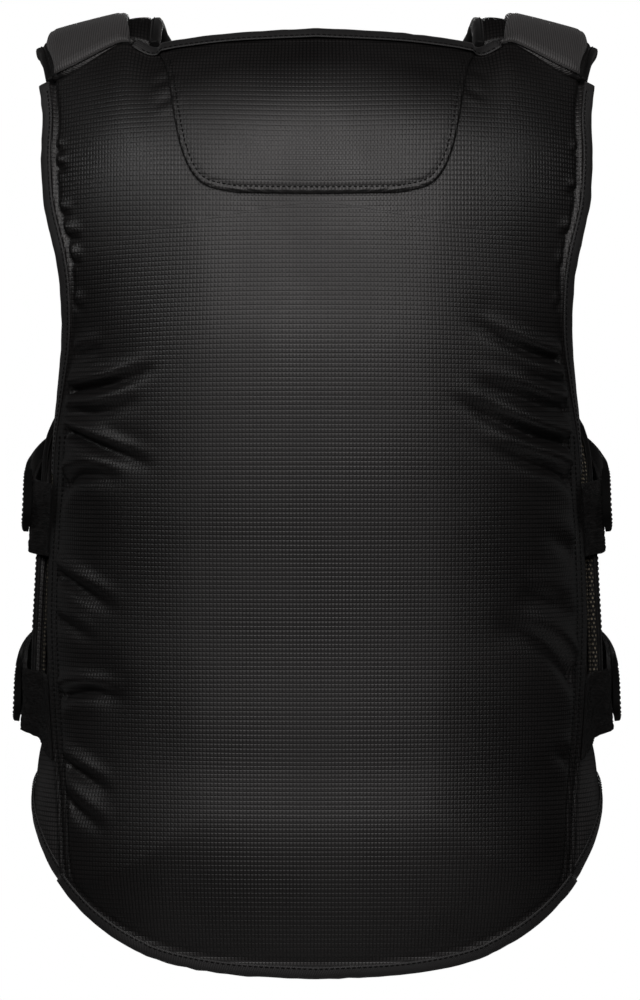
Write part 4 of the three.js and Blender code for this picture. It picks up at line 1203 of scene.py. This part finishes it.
def pill(name, middle, axes, size, power=0.5, rows=26, count=40, bend=None):
    # A rounded block: a sphere whose sines and cosines are raised to a low power, in three given directions
    v, u = np.linspace(-quarter, quarter, rows), np.linspace(-math.pi, math.pi, count + 1)
    v, u = np.meshgrid(v, u, indexing="ij")
    ring = signedPower(np.cos(v), power)
    across, out = ring * signedPower(np.cos(u), power), ring * signedPower(np.sin(u), power)
    local = np.stack([across, out, signedPower(np.sin(v), power)], -1) * size
    if bend is not None:
        local = bend(local)
    points = middle + local @ axes
    cloth = np.stack([u * size[0] + 0.1, v * size[2] + 0.1], -1)
    faces = gridFaces(rows, count, wrap=True)
    corners = cloth.reshape(-1, 2)[gridFaces(rows, count + 1)]
    obj = piece(name, points[:, :-1].reshape(-1, 3), faces, corners, [plastic])
    joinDoubles(obj)
    return obj


def narrowed(points):  # the slider's body is narrower towards its lower end
    points[..., 0] *= 1 - 0.22 * points[..., 2] / 0.0085
    return points


def tilted(points):  # the puller leans in towards the tape
    points[..., 1] -= 0.06 * (points[..., 2] + 0.011)
    return points


sliderLevel = np.array([zipTop - zipper["slider"] * 0.5])
zero = np.zeros(1)
seat = frontHeight(frontInnerTurnAt(sliderLevel), sliderLevel) - zipper["dip"]
place = over(zero, sliderLevel, seat + 0.0012)[0]
out = outward(zero, sliderLevel)[0]
down = unit(skin(zero, sliderLevel - 0.001) - skin(zero, sliderLevel + 0.001))[0]
axes = np.stack([np.cross(down, out), out, down])
pill("zip-slider", place, axes, np.array([0.0036, 0.0022, 0.0085]), bend=narrowed)
bridge = place + out * 0.0026 - down * 0.001
pill("zip-slider-bridge", bridge, axes, np.array([0.0011, 0.0016, 0.0052]), 0.8, 18, 24)
puller = place + out * 0.0030 + down * 0.0125
pill("zip-puller", puller, axes, np.array([0.0030, 0.0008, 0.0110]), 0.45, bend=tilted)
print("zip made")

# Floor, light and camera
studio = {"floor": -1.35, "ambient": 0.005, "camera": (-0.0019, 2.6, -0.2854), "viewHeight": 0.63}
warm = (1, 0.965, 0.96)
lights = [  # name, place, what it points at, width, height, power and colour
    ("key", (0.0, 1.9, 0.56), (0, 0.1, -0.2), 0.9, 1.1, 29, warm),
    ("upper key", (0.1, 1.9, 1.3), (0, 0.1, -0.1), 2.4, 0.4, 4, warm),
    ("top", (0, 0.5, 1.5), (0, 0, -0.1), 0.9, 0.6, 0.4),
    ("left shoulder", (0.95, 0.8, 0.4), (0.12, 0.1, -0.1), 0.3, 0.3, 4.25),
    ("right shoulder", (-0.95, 0.8, 0.4), (-0.12, 0.1, -0.1), 0.3, 0.3, 2.5),
    ("left side", (1.5, -1.2, 0.0), (0, 0, -0.3), 0.4, 1.2, 0.4),
    ("right side", (-1.5, -1.2, 0.0), (0, 0, -0.3), 0.4, 1.2, 0.4),
    ("front", (0, -2.3, 0.3), (0, 0, -0.25), 0.25, 0.9, 16),
]
disc = bpy.data.meshes.new("floor")
angle = np.linspace(0, 2 * math.pi, 97)[:-1]
rim = np.stack([1.3 * np.cos(angle), 1.3 * np.sin(angle), np.full(96, studio["floor"])], -1)
disc.from_pydata(rim, [], [list(range(96))])
floor = inScene("floor", disc)
pale = bpy.data.materials.new("pale floor")
tree, shader = nodesOf(pale)
shader.inputs["Base Color"].default_value = (0.6, 0.6, 0.6, 1)
shader.inputs["Roughness"].default_value = 0.7
disc.materials.append(pale)

world = bpy.context.scene.world or bpy.data.worlds.new("studio")
bpy.context.scene.world = world
world.use_nodes = True
tree = world.node_tree
tree.nodes.clear()
dim, white = tree.nodes.new("ShaderNodeBackground"), tree.nodes.new("ShaderNodeBackground")
dim.inputs["Color"].default_value = (1, 1, 1, 1)
dim.inputs["Strength"].default_value = studio["ambient"]
white.inputs["Strength"].default_value = 1.0
white.inputs["Color"].default_value = (1, 1, 1, 1)
kinds = ("ShaderNodeLightPath", "ShaderNodeMixShader", "ShaderNodeOutputWorld")
rays, mix, output = (tree.nodes.new(kind) for kind in kinds)
tree.links.new(rays.outputs["Is Camera Ray"], mix.inputs["Fac"])
tree.links.new(dim.outputs["Background"], mix.inputs[1])
tree.links.new(white.outputs["Background"], mix.inputs[2])
tree.links.new(mix.outputs["Shader"], output.inputs["Surface"])
bpy.context.scene.view_settings.view_transform = "Standard"


def softbox(name, place, target, width, height, power, colour=(1, 1, 1)):  # it faces its target
    light = bpy.data.lights.new(name, "AREA")
    light.color = colour
    light.shape, light.size, light.size_y, light.energy = "RECTANGLE", width, height, power
    obj = inScene(name, light)
    away = unit(np.array(place) - np.array(target))
    side = unit(np.cross([0, 0, 1.0], away))
    rows = np.stack([side, np.cross(away, side), away], 1)
    obj.matrix_world = Matrix([[*rows[k], place[k]] for k in range(3)] + [[0, 0, 0, 1]])


for light in lights:
    softbox(*light)

lens = bpy.data.cameras.new("camera")
lens.lens, lens.sensor_width = 36 * studio["camera"][1] / studio["viewHeight"], 36
lens.clip_start, lens.clip_end = 0.05, 100
camera = inScene("camera", lens)
camera.location = studio["camera"]
camera.rotation_euler = (quarter, 0, math.pi)
bpy.context.scene.camera = camera

print("scene ready")
